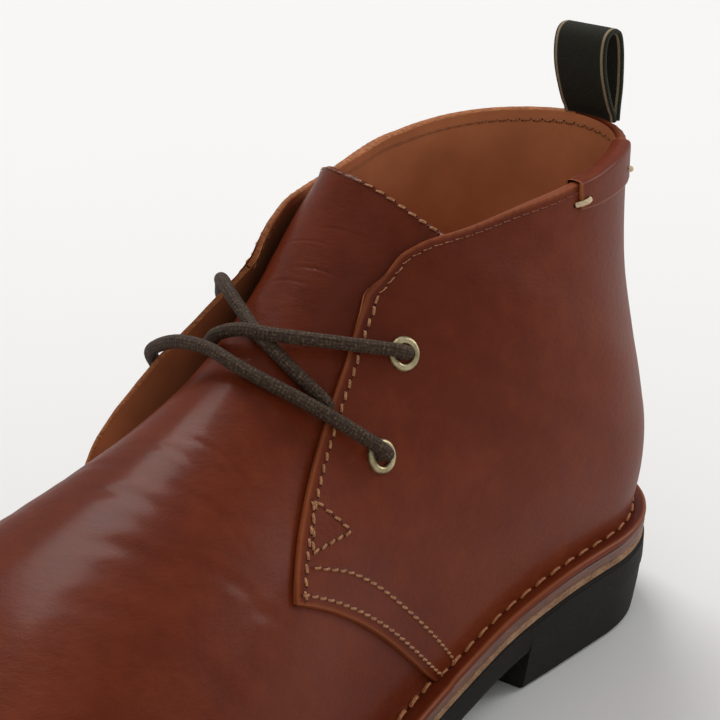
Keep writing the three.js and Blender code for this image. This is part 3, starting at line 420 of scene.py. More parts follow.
class Sheet:
    """Grids of points that become one welded mesh. A point may carry numbers for its material."""

    def __init__(self, name, finishes):
        self.name, self.finishes = name, finishes
        self.points, self.faces, self.slots, self.numbers = [], [], [], {}
        self.count = 0

    def grid(self, points, slot=0, closed=False, **numbers):
        rows, columns = points.shape[:2]
        index = self.count + np.arange(rows * columns).reshape(rows, columns)
        self.points.append(points.reshape(-1, 3))
        for key, values in numbers.items():
            values = np.broadcast_to(values, (rows, columns)).reshape(-1)
            self.numbers.setdefault(key, []).append((self.count, values))
        self.count += rows * columns
        across = np.roll(index, -1, 1) if closed else index[:, 1:]
        near = index if closed else index[:, :-1]
        quads = np.stack([near[:-1], near[1:], across[1:], across[:-1]], -1).reshape(-1, 4)
        self.faces.append(quads)
        self.slots.append(np.full(len(quads), slot))

    def make(self, smooth_angle=38, weld=True):
        points = np.concatenate(self.points)
        faces, slots = np.concatenate(self.faces), np.concatenate(self.slots)
        first, where = np.arange(len(points)), np.arange(len(points))
        if weld:
            _, first, where = np.unique(np.round(points * 500).astype(int), axis=0,
                                        return_index=True, return_inverse=True)
            where = where.reshape(-1)
        faces = where[faces]
        mesh = bpy.data.meshes.new(self.name)
        shapes, kept = [], []
        for face, slot in zip(faces.tolist(), slots.tolist()):
            shape = [v for i, v in enumerate(face) if v != face[i - 1]]
            if len(set(shape)) > 2 and len(set(shape)) == len(shape):
                shapes.append(shape)
                kept.append(slot)
        mesh.from_pydata(to_part(points[first]).tolist(), [], shapes)
        for key, parts in self.numbers.items():
            values = np.zeros(len(points))
            for start, part in parts:
                values[start:start + len(part)] = part
            attribute = mesh.attributes.new(key, "FLOAT", "POINT")
            attribute.data.foreach_set("value", values[first].astype(np.float32))
        for finish in self.finishes:
            mesh.materials.append(finish)
        mesh.polygons.foreach_set("material_index", np.array(kept, np.int32))
        mesh.polygons.foreach_set("use_smooth", np.ones(len(kept), bool))
        mesh.update()
        mesh.validate()
        mesh.set_sharp_from_angle(angle=math.radians(smooth_angle))
        piece = bpy.data.objects.new(self.name, mesh)
        bpy.context.scene.collection.objects.link(piece)
        return piece


def hand_over(piece, slot, *nodes):
    """Set a piece on the part's one body, in place of the solids it dresses. The slot is not used."""
    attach(piece, "root")
    if nodes:
        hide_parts(*nodes)


class Value:
    """A socket in a material, which can be used in sums and products."""

    def __init__(self, finish, socket):
        self.finish, self.socket = finish, socket

    def sum_with(self, operation, first, second=None):
        inputs = {0: first} if second is None else {0: first, 1: second}
        return self.finish.node("Math", {"operation": operation}, inputs)

    def __add__(self, other):
        return self.sum_with("ADD", self, other)

    def __sub__(self, other):
        return self.sum_with("SUBTRACT", self, other)

    def __rsub__(self, other):
        return self.sum_with("SUBTRACT", other, self)

    def __mul__(self, other):
        return self.sum_with("MULTIPLY", self, other)

    def __pow__(self, other):
        return self.sum_with("POWER", self, other)

    __radd__, __rmul__ = __add__, __mul__

    def held(self):
        """Kept between 0 and 1."""
        return self.finish.node("Clamp", {}, {"Value": self})

    def hill(self, middle, width):
        """1 at the middle value, falling to 0 a width away."""
        away = self.sum_with("ABSOLUTE", self - middle)
        return (1 - away * (1 / width)).held()

    def band(self, low, high):
        return self.finish.node("MapRange", {"interpolation_type": "SMOOTHSTEP"},
                                {"Value": self, "From Min": low, "From Max": high})


class Finish:
    """A material with one Principled shader, built node by node."""

    def __init__(self, name, **fixed):
        self.material = bpy.data.materials.new(name)
        self.material.use_nodes = True
        self.tree = self.material.node_tree
        self.shader = self.tree.nodes["Principled BSDF"]
        for key, value in fixed.items():
            self.shader.inputs[key.replace("_", " ")].default_value = value
        self.place = self.node("TexCoord", {}, {}, "Object")

    def socket_of(self, node, key):
        if isinstance(key, int):
            return node.inputs[key]
        return next(s for s in node.inputs if key in (s.identifier, s.name) and s.enabled)

    def node(self, kind, settings, inputs, output=None):
        made = self.tree.nodes.new("ShaderNode" + kind)
        for key, value in settings.items():
            if key == "stops":
                for stop, (at, colour) in zip(self.stops_of(made, len(value)), value):
                    stop.position, stop.color = at, (*colour, 1)
            else:
                setattr(made, key, value)
        for key, value in inputs.items():
            self.set(self.socket_of(made, key), value)
        shown = [s for s in made.outputs if s.enabled]
        return Value(self, next((s for s in shown if s.name == output), shown[0]))

    def stops_of(self, made, count):
        while len(made.color_ramp.elements) < count:
            made.color_ramp.elements.new(0.5)
        return made.color_ramp.elements

    def set(self, socket, value):
        if isinstance(value, Value):
            self.tree.links.new(value.socket, socket)
        elif isinstance(value, tuple) and len(value) == 3 and socket.type == "RGBA":
            socket.default_value = (*value, 1)
        else:
            socket.default_value = value

    def noise(self, scale, detail=2.0, roughness=0.5, stretch=None):
        place = self.place
        if stretch:
            place = self.node("Mapping", {}, {"Vector": place, "Scale": stretch})
        return self.node("TexNoise", {}, {"Vector": place, "Scale": scale, "Detail": detail,
                                          "Roughness": roughness})

    def cells(self, scale):
        """Distance from the borders of small cells, as in a leather's grain."""
        kind = {"feature": "DISTANCE_TO_EDGE"}
        return self.node("TexVoronoi", kind, {"Vector": self.place, "Scale": scale})

    def number(self, name):
        return self.node("Attribute", {"attribute_name": name}, {}, "Fac")

    def blend(self, factor, first, second):
        return self.node("Mix", {"data_type": "RGBA"},
                         {"Factor_Float": factor, "A_Color": first, "B_Color": second})

    def ramp(self, value, stops):
        return self.node("ValToRGB", {"stops": stops}, {"Fac": value}, "Color")

    def relief(self, height, strength, depth, under=None):
        """A bump of this depth in metres, on another if one is given."""
        inputs = {"Height": height, "Strength": strength, "Distance": depth}
        if under:
            inputs["Normal"] = under
        return self.node("Bump", {}, inputs, "Normal")

    def shows(self, **sockets):
        for key, value in sockets.items():
            self.set(self.shader.inputs[key.replace("_", " ")], value)
        return self.material


DARK_CHESTNUT = (0.084, 0.0125, 0.0042)
CHESTNUT = (0.130, 0.0210, 0.0066)
WARM_CHESTNUT = (0.190, 0.0375, 0.0115)
PALE_EDGE = (0.29, 0.082, 0.028)


def chestnut_leather():
    skin = Finish("chestnut_leather", Specular_IOR_Level=0.05, Coat_Weight=0.12, Coat_Roughness=0.2)
    cloud = skin.noise(13, 3, 0.5)
    mottle = skin.noise(160, 4, 0.6)
    tone = cloud * 0.62 + mottle * 0.38
    base = skin.ramp(tone, [(0.26, DARK_CHESTNUT), (0.5, CHESTNUT), (0.78, WARM_CHESTNUT)])
    crease = skin.number("crease")
    worn = skin.blend((crease * 0.9).held() * 0.7, base, WARM_CHESTNUT)
    # The troughs of the creases are darkened: painted shade in the creases.
    crease_shaded = skin.blend((crease * -1.5).held() * 0.6, worn, DARK_CHESTNUT)
    edge = skin.number("edge")
    polished = skin.blend((1 - edge.band(0.0, 1.0)) * 0.7, crease_shaded, PALE_EDGE)
    row = skin.number("row")
    # Along each stitch row the leather is darkened: painted shade of the sunk seam.
    seam_shaded = skin.blend((1 - row.band(0.1, 0.9)) * 0.55, polished, DARK_CHESTNUT)
    scratch = skin.noise(60, 5, 0.75, stretch=(1, 9, 3)).band(0.69, 0.76)
    scuffed = skin.blend(scratch * 0.16, seam_shaded, WARM_CHESTNUT)
    grain = skin.cells(1250) ** 0.5
    pores = skin.noise(2600, 2, 0.5)
    wrinkles = skin.noise(420, 4, 0.62, stretch=(0.55, 0.8, 2.1))
    fine = skin.relief(grain * 0.6 + pores * 0.5, 0.3, 0.00018)
    lined = skin.relief(wrinkles, 0.42, 0.0005, fine)
    slow = skin.relief(cloud, 0.12, 0.0012, lined)
    sunk = skin.relief(row.band(0.0, 0.8), 0.8, 0.00035, slow)
    return skin.shows(Base_Color=scuffed, Roughness=0.38 + mottle * 0.2, Normal=sunk)


def raw_edge():
    cut = Finish("raw_edge", Specular_IOR_Level=0.3)
    fibre = cut.noise(900, 4, 0.7, stretch=(1, 1, 3))
    colour = cut.ramp(fibre,
                      [(0.3, (0.17, 0.050, 0.017)), (0.52, (0.36, 0.120, 0.038)),
                       (0.74, (0.55, 0.22, 0.080))])
    return cut.shows(Base_Color=colour, Roughness=0.78, Normal=cut.relief(fibre, 0.5, 0.0002))


def lining_leather():
    skin = Finish("lining_leather", Specular_IOR_Level=0.35)
    cloud = skin.noise(30, 4, 0.6)
    colour = skin.ramp(cloud,
                       [(0.28, (0.38, 0.13, 0.05)), (0.52, (0.55, 0.19, 0.074)), (0.78, (0.66, 0.26, 0.11))])
    row = skin.number("row")
    # Along the stitch row the lining is darkened: painted shade of the seam.
    shown = skin.blend((1 - row.band(0.1, 0.9)) * 0.45, colour, (0.11, 0.035, 0.015))
    nap = skin.noise(1500, 3, 0.6)
    return skin.shows(Base_Color=shown, Roughness=0.68 + cloud * 0.15, Normal=skin.relief(nap, 0.25, 0.00015))


def insole_leather():
    skin = Finish("insole_leather", Specular_IOR_Level=0.35)
    cloud = skin.noise(26, 4, 0.6)
    colour = skin.ramp(cloud,
                       [(0.3, (0.36, 0.14, 0.05)), (0.55, (0.55, 0.25, 0.10)), (0.78, (0.66, 0.36, 0.17))])
    return skin.shows(Base_Color=colour, Roughness=0.55 + cloud * 0.2,
                      Normal=skin.relief(skin.noise(1300, 3, 0.6), 0.2, 0.0002))


def thread(name, dark, light):
    yarn = Finish(name, Specular_IOR_Level=0.4)
    strands = yarn.noise(1900, 3, 0.6)
    twist = yarn.node("TexWave", {"bands_direction": "DIAGONAL"}, {"Vector": yarn.place, "Scale": 900.0})
    return yarn.shows(Base_Color=yarn.blend(strands.band(0.3, 0.7), dark, light), Roughness=0.6,
                      Normal=yarn.relief(twist, 0.5, 0.00012))


# Near-black discs where the threads enter the leather: painted shade of the stitch holes.
def painted_hole_shade():
    hole = Finish("painted_hole_shade", Specular_IOR_Level=0.1)
    colour = hole.blend(hole.noise(700, 2), (0.016, 0.005, 0.002), (0.034, 0.010, 0.005))
    return hole.shows(Base_Color=colour, Roughness=0.9)


def burnished_band():
    skin = Finish("burnished_band", Coat_Weight=0.15, Coat_Roughness=0.35)
    layers = skin.noise(260, 5, 0.7, stretch=(1, 1, 5))
    stain = skin.noise(70, 3, 0.6)
    colour = skin.ramp(layers * 0.6 + stain * 0.4,
                       [(0.3, (0.055, 0.018, 0.009)), (0.5, (0.125, 0.040, 0.018)),
                        (0.72, (0.22, 0.085, 0.038))])
    return skin.shows(Base_Color=colour, Roughness=0.42 + layers * 0.3,
                      Normal=skin.relief(layers, 0.35, 0.0003))


def raw_band():
    cut = Finish("raw_band", Specular_IOR_Level=0.25)
    fibre = cut.noise(800, 5, 0.75, stretch=(1, 1, 2.5))
    stain = cut.noise(140, 3, 0.6)
    colour = cut.ramp(fibre * 0.6 + stain * 0.4,
                      [(0.34, (0.12, 0.055, 0.028)), (0.5, (0.27, 0.145, 0.078)), (0.66, (0.45, 0.28, 0.17))])
    return cut.shows(Base_Color=colour, Roughness=0.85, Normal=cut.relief(fibre, 0.6, 0.0003))


def speckled_rubber():
    rubber = Finish("speckled_rubber", Specular_IOR_Level=0.16)
    dust = rubber.noise(1100, 5, 0.75)
    worn = rubber.noise(90, 4, 0.6)
    colour = rubber.ramp(dust * 0.65 + worn * 0.35,
                         [(0.36, (0.008, 0.007, 0.006)), (0.58, (0.017, 0.014, 0.012)),
                          (0.78, (0.060, 0.050, 0.042))])
    return rubber.shows(Base_Color=colour, Roughness=0.62 + worn * 0.3,
                        Normal=rubber.relief(dust, 0.35, 0.00025))


def aged_brass():
    metal = Finish("aged_brass", Metallic=1.0)
    tarnish = metal.noise(420, 4, 0.65)
    colour = metal.ramp(tarnish,
                        [(0.25, (0.20, 0.16, 0.085)), (0.5, (0.42, 0.35, 0.20)), (0.75, (0.62, 0.54, 0.35))])
    return metal.shows(Base_Color=colour, Roughness=0.3 + tarnish * 0.25,
                       Normal=metal.relief(tarnish, 0.15, 0.0002))


def waxed_cord():
    cord = Finish("waxed_cord", Specular_IOR_Level=0.2)
    along, around = cord.number("along"), cord.number("around")
    left = cord.node("Math", {"operation": "SINE"}, {0: along * 3.4 + around * 3})
    right = cord.node("Math", {"operation": "SINE"}, {0: along * 3.4 - around * 3})
    braid = left * right * 0.5 + 0.5
    fleck = cord.noise(1700, 3, 0.75)
    colour = cord.ramp(fleck * 0.88 + braid * 0.12,
                       [(0.34, (0.018, 0.0105, 0.0065)), (0.54, (0.056, 0.033, 0.020)),
                        (0.74, (0.19, 0.125, 0.078))])
    return cord.shows(Base_Color=colour, Roughness=0.62 + fleck * 0.2,
                      Normal=cord.relief(braid * 0.5 + fleck * 0.5, 0.6, 0.0003))


def striped_webbing():
    band = Finish("striped_webbing", Specular_IOR_Level=0.25)
    across, along = band.number("across"), band.number("along")
    weft = band.node("Math", {"operation": "SINE"}, {0: along * 7.2})
    warp = band.node("Math", {"operation": "SINE"}, {0: across * 9.5})
    weave = weft * warp * 0.5 + 0.5
    fleck = band.noise(900, 3, 0.6)
    dark = band.blend(weave * 0.6 + fleck * 0.4, (0.008, 0.008, 0.005), (0.032, 0.031, 0.020))
    to_line = 0.44 * LOOP_WIDTH
    both = across.hill(LOOP_OFFSET + to_line, 0.5) + across.hill(LOOP_OFFSET - to_line, 0.5)
    lines = both.held().band(0.1, 0.6)
    colour = band.blend(lines * (0.65 + weave * 0.35), dark, (0.40, 0.30, 0.18))
    return band.shows(Base_Color=colour, Roughness=0.82 + fleck * 0.1, Normal=band.relief(weave, 0.8, 0.0003))


def pale_floor():
    card = Finish("pale_floor", Specular_IOR_Level=0.2)
    tone = card.noise(3, 2)
    return card.shows(Base_Color=card.blend(tone, (0.775, 0.77, 0.76), (0.80, 0.795, 0.785)), Roughness=0.85)


LEATHER_SKIN = chestnut_leather()
RAW_EDGE = raw_edge()
LINING = lining_leather()
TAN_THREAD = thread("tan_thread", (0.24, 0.085, 0.028), (0.50, 0.23, 0.095))
RUST_THREAD = thread("rust_thread", (0.26, 0.075, 0.02), (0.50, 0.18, 0.05))
CREAM_THREAD = thread("cream_thread", (0.52, 0.37, 0.20), (0.80, 0.64, 0.42))
HOLE_SHADE = painted_hole_shade()


def distance_to(points, *paths):
    """Distance of each point from the nearest of some paths of points."""
    nearest = np.full(points.shape[:-1], 1e3)
    for path in paths:
        for chunk in np.array_split(path, max(1, len(path) // 40)):
            gaps = np.linalg.norm(points[..., None, :] - chunk, axis=-1)
            nearest = np.minimum(nearest, gaps.min(-1))
    return nearest


def run_of(points):
    return np.concatenate([[0], np.cumsum(np.linalg.norm(np.diff(points, axis=0), axis=1))])


def resample(points, at):
    run = run_of(points)
    return np.stack([np.interp(at, run, points[:, k]) for k in range(3)], -1)


def stitch_row(sheet, hole_shades, points, normals, length, gap, radius, slant=0.0):
    """Short threads along a path, each dipping into a hole at both ends."""
    run = run_of(points)[-1]
    count = max(1, int((run - length) / (length + gap)) + 1)
    starts = (np.arange(count) * (length + gap)) + (run - count * (length + gap) + gap) / 2
    # Columns: share of the stitch's length, its middle's lift and its radius as shares of the thread's radius
    shape = [
        [0, -0.6, 0.6], [0.12, 0.3, 0.95], [0.35, 0.7, 1],
        [0.65, 0.7, 1], [0.88, 0.3, 0.95], [1, -0.6, 0.6],
    ]
    shares, lifts, radii = np.array(shape).T
    turns = np.linspace(0, 2 * math.pi, 7)[:-1]
    cos, sin = np.cos(turns)[:, None], np.sin(turns)[:, None]
    for start in starts:
        at = start + shares * length
        line, up = resample(points, at), resample(normals, at)
        up /= np.linalg.norm(up, axis=1, keepdims=True)
        way = np.gradient(line, axis=0)
        way /= np.linalg.norm(way, axis=1, keepdims=True)
        side = np.cross(way, up)
        line = line + side * ((shares - 0.5) * slant * length)[:, None]
        ring_way = cos * side[:, None] + 0.8 * sin * up[:, None]
        middle = line + up * (lifts * radius)[:, None]
        sheet.grid(middle[:, None] + ring_way * radius * radii[:, None, None], closed=True)
        for end in (0, -1):
            # At both ends a near-black disc is laid on the leather: painted shade of the stitch hole.
            disc = line[end] + up[end] * 0.05
            brim = disc + 0.78 * radius * (cos * side[end] + sin * way[end])
            hole_shades.grid(np.stack([brim, np.repeat(disc[None] + up[end] * 0.01, len(turns), 0)]), closed=True)


def outer_height(station, girth):
    """Height of the quarter's face over the last."""
    fold = creases(QUARTER_CREASES, station, np.abs(girth))
    return QUARTER + flap_lift(station, girth) + fold


def flare(points):
    """The upper's foot curves out onto the flange."""
    over = points[..., 2] - bed(points[..., 1]) - FLANGE
    return 0.9 * np.exp(-np.clip(over, -1, 40) / 1.3)


def offset(station, girth, height):
    base, normal = last_point(station, girth), last_normal(station, girth)
    points = base + normal * (height + flare(base))[..., None]
    points[..., 2] = np.maximum(points[..., 2], bed(points[..., 1]) + 0.6 * FLANGE)
    return points


facing_edge, rim_edge, seam_edge = even_edge(FACING), even_edge(RIM), even_edge(SEAM)


def back_edge(share):
    """The quarter's lower edge along the feather, then from its turn up the middle of the back."""
    start, top, turn = SEAM[-1][0], RIM[-1][0], 12 / 22
    feather = even_edge([[mix(start, 1, part), 1] for part in (0, 0.4, 0.75, 0.9, 1)])
    rise = even_edge([[1, 1], [mix(1, top, 0.5), 1], [top, 1]])
    low, high = feather(np.minimum(share / turn, 1)), rise(np.clip((share - turn) / (1 - turn), 0, 1))
    return np.where((share <= turn)[..., None], low, high)


def quarter_grid(ups, overs):
    """Stations and girths of a quarter, between its four edges."""
    up = np.linspace(0, 1, ups + 1)
    over = np.linspace(0, 1, overs + 1)
    over = over - 0.12 * np.sin(2 * math.pi * over) / (2 * math.pi)
    left, right = facing_edge(up)[:, None], back_edge(up)[:, None]
    bottom, top = seam_edge(over)[None], rim_edge(over)[None]
    u, o = up[:, None, None], over[None, :, None]
    corners = mix(mix(left[:1], right[:1], o), mix(left[-1:], right[-1:], o), u)
    return mix(left, right, o) + mix(bottom, top, u) - corners


def quarter_middle(side):
    """Station and signed girth of the middle of a quarter."""
    station, girth = quarter_grid(4, 4)[2, 2]
    return station, side * girth


def edge_path(edge, side):
    """Points along an edge of the quarter's face."""
    track = edge(np.linspace(0, 1, 160))
    t, g = track[:, 0], side * track[:, 1]
    return offset(t, g, outer_height(t, g))


def moved_over(track, side, centre, amount):
    """Stations and signed girths of a track moved over the last by an amount, towards a point beside it."""
    t, g = track[:, 0].copy(), side * track[:, 1]
    steps, reach = 4, 0.002
    for _ in range(steps):
        inner = np.clip(g, reach - 1, 1 - reach)
        along_t = (last_point(t + reach, g) - last_point(t - reach, g)) / (2 * reach)
        along_g = (last_point(t, inner + reach) - last_point(t, inner - reach)) / (2 * reach)
        points = last_point(t, g)
        aside = np.cross(np.gradient(points, axis=0), last_normal(t, g))
        aside /= np.linalg.norm(aside, axis=1, keepdims=True)
        towards = np.sign(np.sum(aside * (last_point(*centre) - points), axis=1, keepdims=True))
        aside *= towards * amount / steps
        tt, tg, gg = (along_t**2).sum(1), (along_t * along_g).sum(1), (along_g**2).sum(1)
        at, ag = (along_t * aside).sum(1), (along_g * aside).sum(1)
        scale = tt * gg - tg * tg
        t += (gg * at - tg * ag) / scale
        g = np.clip(g + (tt * ag - tg * at) / scale, -1, 1)
    return t, g


def lining_height(station, girth, side):
    """Height of the quarter's inner face over the last: over the slot it lies on the tongue."""
    over_slot = 0.2 + flap_lift(station, side * girth)
    return mix(over_slot, -0.8 * LEATHER, ease(0.0, 0.14, girth - slot_at(station)))


def quarters():
    piece = Sheet("quarters", [LEATHER_SKIN, LINING, RAW_EDGE])
    grid = quarter_grid(150, 120)
    t, g = grid[..., 0], grid[..., 1]
    for side in (1, -1):
        outer = offset(t, side * g, outer_height(t, side * g))
        lip = lining_height(t, g, side)
        inner = last_point(t, side * g) + last_normal(t, side * g) * lip[..., None]
        edges = [edge_path(edge, side) for edge in (facing_edge, rim_edge, seam_edge)]
        near_edge = distance_to(outer, *edges)
        near_row = distance_to(outer, *[path for path, _ in row_paths(side)])
        fold = creases(QUARTER_CREASES, t, g)
        drop = 0.5 * np.exp(-((near_edge / 0.6) ** 2))
        outer = outer - last_normal(t, side * g) * drop[..., None]
        piece.grid(outer, 0, edge=near_edge, row=near_row, crease=fold)
        inside_row = distance_to(inner, lining_row(side)[0])
        piece.grid(inner, 1, edge=FAR, row=inside_row, crease=0)
        # The inner side's cut edges are seen raw, the outer side's are seen dyed.
        cut, worn = (2, FAR) if side < 0 else (0, 0.4)
        for border, beside in ((np.s_[:, 0], np.s_[:, 1]), (np.s_[0], np.s_[1]), (np.s_[-1], np.s_[-2])):
            a, b = outer[border], inner[border]
            bulge = 0.25 * (a - outer[beside])
            strip = np.stack([a, mix(a, b, 0.25) + bulge, mix(a, b, 0.75) + bulge, b])
            piece.grid(strip, cut, edge=worn, row=FAR, crease=0)
    hand_over(piece.make(), "chestnut_leather", "upper")


def lining_row(side):
    """The collar's stitch row seen on its lining: points and normals."""
    t, g = moved_over(rim_edge(np.linspace(0, 1, 160)), side, quarter_middle(side), LINING_INSET)
    lip = lining_height(t, np.abs(g), side)
    return last_point(t, g) + last_normal(t, g) * lip[..., None], -last_normal(t, g)


def face_path(t, g):
    """Points and normals on the quarter's face, at stations and signed girths."""
    return offset(t, g, outer_height(t, g)), last_normal(t, g)


def row_paths(side):
    """The rows of stitching on a quarter's face, each a path and its normals."""
    # Columns: the edge that a row runs beside, how far in, the share of the edge where it starts
    beside = ((facing_edge, PANEL_INSET, 0.012), (seam_edge, PANEL_INSET, 0.015), (rim_edge, RIM_INSET, 0))
    made = [face_path(*moved_over(edge(np.linspace(start, 1, 200)), side, quarter_middle(side), inset))
            for edge, inset, start in beside]
    corners = np.array(TRIANGLE)
    straights = [[start, mix(start, end, 0.5), end] for start, end in zip(corners, corners[1:])]
    for rows, count in [(SECOND_ROW, 200)] + [(straight, 40) for straight in straights]:
        track = even_edge(rows)(np.linspace(0, 1, count))
        made.append(face_path(track[:, 0], side * track[:, 1]))
    return made


def upper_stitches():
    threads, hole_shades = Sheet("upper_stitches", [TAN_THREAD]), Sheet("upper_stitch_hole_shades", [HOLE_SHADE])
    for side in (1, -1):
        for path, normals in row_paths(side):
            stitch_row(threads, hole_shades, path, normals, STITCH, STITCH_GAP, THREAD, SLANT)
        stitch_row(threads, hole_shades, *lining_row(side), STITCH, STITCH_GAP, THREAD, SLANT)
    stitch_row(threads, hole_shades, *tongue_top_path(TONGUE_INSET), STITCH, STITCH_GAP, THREAD, SLANT)
    hand_over(threads.make(60, weld=False), "chestnut_leather")
    hand_over(hole_shades.make(60, weld=False), "chestnut_leather")


def tongue_track(up, over):
    """Station and girth on the tongue: up from the throat, over from the inner to the outer edge."""
    start = SLOT[0][0]

    def wide(station):
        return mix(0.5, slot_at(station) - 0.018, ease(start, start + 0.03, station)) * over

    reach = look_up(TONGUE_TOP, wide(above(0.3)))
    station = mix(start, reach, up)
    return station, wide(station)


def tongue_height(station, girth):
    return creases(VAMP_CREASES, station, girth)


def tongue_top_path(down):
    over = np.linspace(-0.93, 0.93, 120)
    t, g = tongue_track(np.ones_like(over), over)
    t = t - down / FEATHER_RUN
    return off_last(t, g, tongue_height(t, g) + 0.05), last_normal(t, g)


def vamp_and_tongue():
    piece = Sheet("vamp_and_tongue", [LEATHER_SKIN, LINING, RAW_EDGE])
    throat = SLOT[0][0]
    inside = np.linspace(-0.5, 0.5, 81)
    outside = np.linspace(0.5, 1, 41)
    columns = np.concatenate([-outside[:0:-1], inside, outside[1:]])
    stations = throat * np.linspace(0, 1, 171) ** 1.35
    parts = []
    t, g = np.meshgrid(stations, columns, indexing="ij")
    parts.append((t, g))
    up, over = np.meshgrid(np.linspace(0, 1, 131), inside / 0.5, indexing="ij")
    parts.append(tongue_track(up, over))
    for side in (1, -1):
        part, girth = np.meshgrid(np.linspace(0, 1, 21), side * outside, indexing="ij")
        parts.append((mix(throat, look_up(VAMP_BACK, np.abs(girth)), part), girth))
    top = tongue_top_path(0)[0]
    row = tongue_top_path(TONGUE_INSET)[0]
    for number, (t, g) in enumerate(parts):
        on_tongue = number == 1
        fold = tongue_height(t, g)
        outer, inner = offset(t, g, fold), off_last(t, g, np.full(t.shape, -LEATHER))
        near_row = distance_to(outer, row) if on_tongue else FAR
        if on_tongue:
            rolled = 0.7 * np.exp(-((distance_to(outer, top) / 0.7) ** 2))
            outer = outer - last_normal(t, g) * rolled[..., None]
        piece.grid(outer, 0, edge=FAR, row=near_row, crease=fold)
        piece.grid(inner, 1, edge=FAR, row=FAR, crease=0)
        if on_tongue:
            for border in (np.s_[:, 0], np.s_[:, -1], np.s_[-1, :]):
                piece.grid(np.stack([outer[border], inner[border]]), 0, edge=FAR, row=FAR, crease=0)
    hand_over(piece.make(), "chestnut_leather", "tongue")


def outline(inset, end=None, arc=30, straight=110):
    """The sole's outline at an inset: stations from heel to toe or to an end, and both half widths."""
    turn = np.linspace(0, math.pi / 2, arc + 1)
    heel, toe = HEEL_ROUND - inset, TOE_ROUND - inset
    first = inset + heel * (1 - np.cos(turn))
    if end is None:
        middle = np.linspace(inset + heel, SOLE_LENGTH - inset - toe, straight + 1)[1:]
        final = (SOLE_LENGTH - inset - toe * (1 - np.cos(turn)))[::-1][1:]
    else:
        middle, final = np.linspace(inset + heel, end, 31)[1:], np.zeros(0)
    s = np.concatenate([first, middle, final])
    outer = np.stack([centre_line(s) + half_width(s, 1, inset), s], -1)
    inner = np.stack([centre_line(s) - half_width(s, -1, inset), s], -1)
    return outer, inner


def ring(inset, height, end=None):
    """A closed loop of points round the sole."""
    outer, inner = outline(inset, end)
    loop = np.concatenate([outer, inner[::-1][1:-1]]) if end is None else np.concatenate([outer, inner[::-1]])
    return np.concatenate([loop, height(loop[:, 1])[:, None]], -1)


def banded(piece, levels, slot, end=None):
    """A wall round the sole through rings at the given insets and heights."""
    rings = np.stack([ring(inset, height, end) for inset, height in levels])
    piece.grid(rings, slot, closed=True)


def lid(piece, inset, height, slot, end=None, across=7):
    """A surface across the sole inside one ring."""
    outer, inner = outline(inset, end)
    share = np.linspace(0, 1, across)[None, :, None]
    sheet = mix(outer[:, None], inner[:, None], share)
    points = np.concatenate([sheet, height(sheet[..., 1])[..., None]], -1)
    piece.grid(points, slot)


def over_bed(amount):
    return lambda s: bed(s) + amount


def flange_height(amount):
    """The quarter's flange lies a little over the vamp's, with a step at the seam."""
    seam_s = FEATHER_END - SEAM[-1][0] * FEATHER_RUN
    return lambda s: bed(s) + amount + 0.45 * ease(seam_s + 1.2, seam_s - 1.2, s)


def seam_ring(vamp_inset, quarter_inset, height):
    """A loop round the sole whose inset changes where the quarters start."""
    front, back = ring(vamp_inset, height), ring(quarter_inset, height)
    seam_s = FEATHER_END - SEAM[-1][0] * FEATHER_RUN
    return mix(front, back, ease(seam_s + 1.5, seam_s - 1.5, front[:, 1:2]))


def flange():
    piece = Sheet("flange", [LEATHER_SKIN])
    # Columns: inset along the vamp, inset along the quarters, height over the bed
    levels = [
        (10.5, 10.5, 1.2), (8.8, 8.2, 1.9), (7.4, 6.0, 2.0), (6.4, 4.9, 1.85), (5.8, 4.4, 1.62),
        (WELT_INSET, WELT_INSET_BACK, 1.5), (4.8, 3.6, 1.62), (4.2, 3.1, 1.86), (3.2, 2.4, 1.97),
        (2.0, 1.7, 2.0), (1.1, 1.1, 1.95), (0.6, 0.6, 1.75), (0.32, 0.32, 1.4), (0.25, 0.25, 0.9),
        (0.35, 0.35, 0.25), (0.9, 0.9, -0.05),
    ]
    rings = np.stack([seam_ring(front, back, flange_height(amount)) for front, back, amount in levels])
    rise = np.array([row[2] for row in levels])[:, None]
    inset = np.array([row[0] for row in levels])[:, None]
    rim = np.abs(inset - 0.6) + np.abs(rise - 1.75)
    # The row number darkens the leather along the welt stitches: painted shade of the welt groove.
    piece.grid(rings, 0, closed=True, edge=np.broadcast_to(rim, rings.shape[:2]),
               row=np.broadcast_to(np.abs(inset - WELT_INSET), rings.shape[:2]), crease=0)
    hand_over(piece.make(50), "chestnut_leather")


def welt_stitches():
    threads, hole_shades = Sheet("welt_stitches", [RUST_THREAD]), Sheet("welt_stitch_hole_shades", [HOLE_SHADE])
    path = seam_ring(WELT_INSET, WELT_INSET_BACK, flange_height(WELT_FLOOR))
    path = np.concatenate([path, path[:1]])
    normals = np.tile([0.0, 0.0, 1.0], (len(path), 1))
    stitch_row(threads, hole_shades, path, normals, WELT_STITCH, WELT_GAP, WELT_THREAD, WELT_SLANT)
    hand_over(threads.make(60, weld=False), "chestnut_leather")
    hand_over(hole_shades.make(60, weld=False), "chestnut_leather")


def midsole():
    piece = Sheet("midsole_layers", [burnished_band(), raw_band()])
    top, low = -GAP, -GAP - MIDSOLE
    banded(piece, [(3, over_bed(top + 0.15)), (1.0, over_bed(top + 0.1)), (0.65, over_bed(top - 0.35)),
                   (0.5, over_bed(top - 1.0)), (0.6, over_bed(top - 1.75)), (0.95, over_bed(top - 2.1))], 0)
    banded(piece, [(0.95, over_bed(top - 2.1)), (0.75, over_bed(top - 2.25)), (0.7, over_bed(low + 0.8)),
                   (0.8, over_bed(low + 0.05)), (1.4, over_bed(low - 0.1)), (6, over_bed(low - 0.1))], 1)
    hand_over(piece.make(50), "midsole_leather", "midsole")


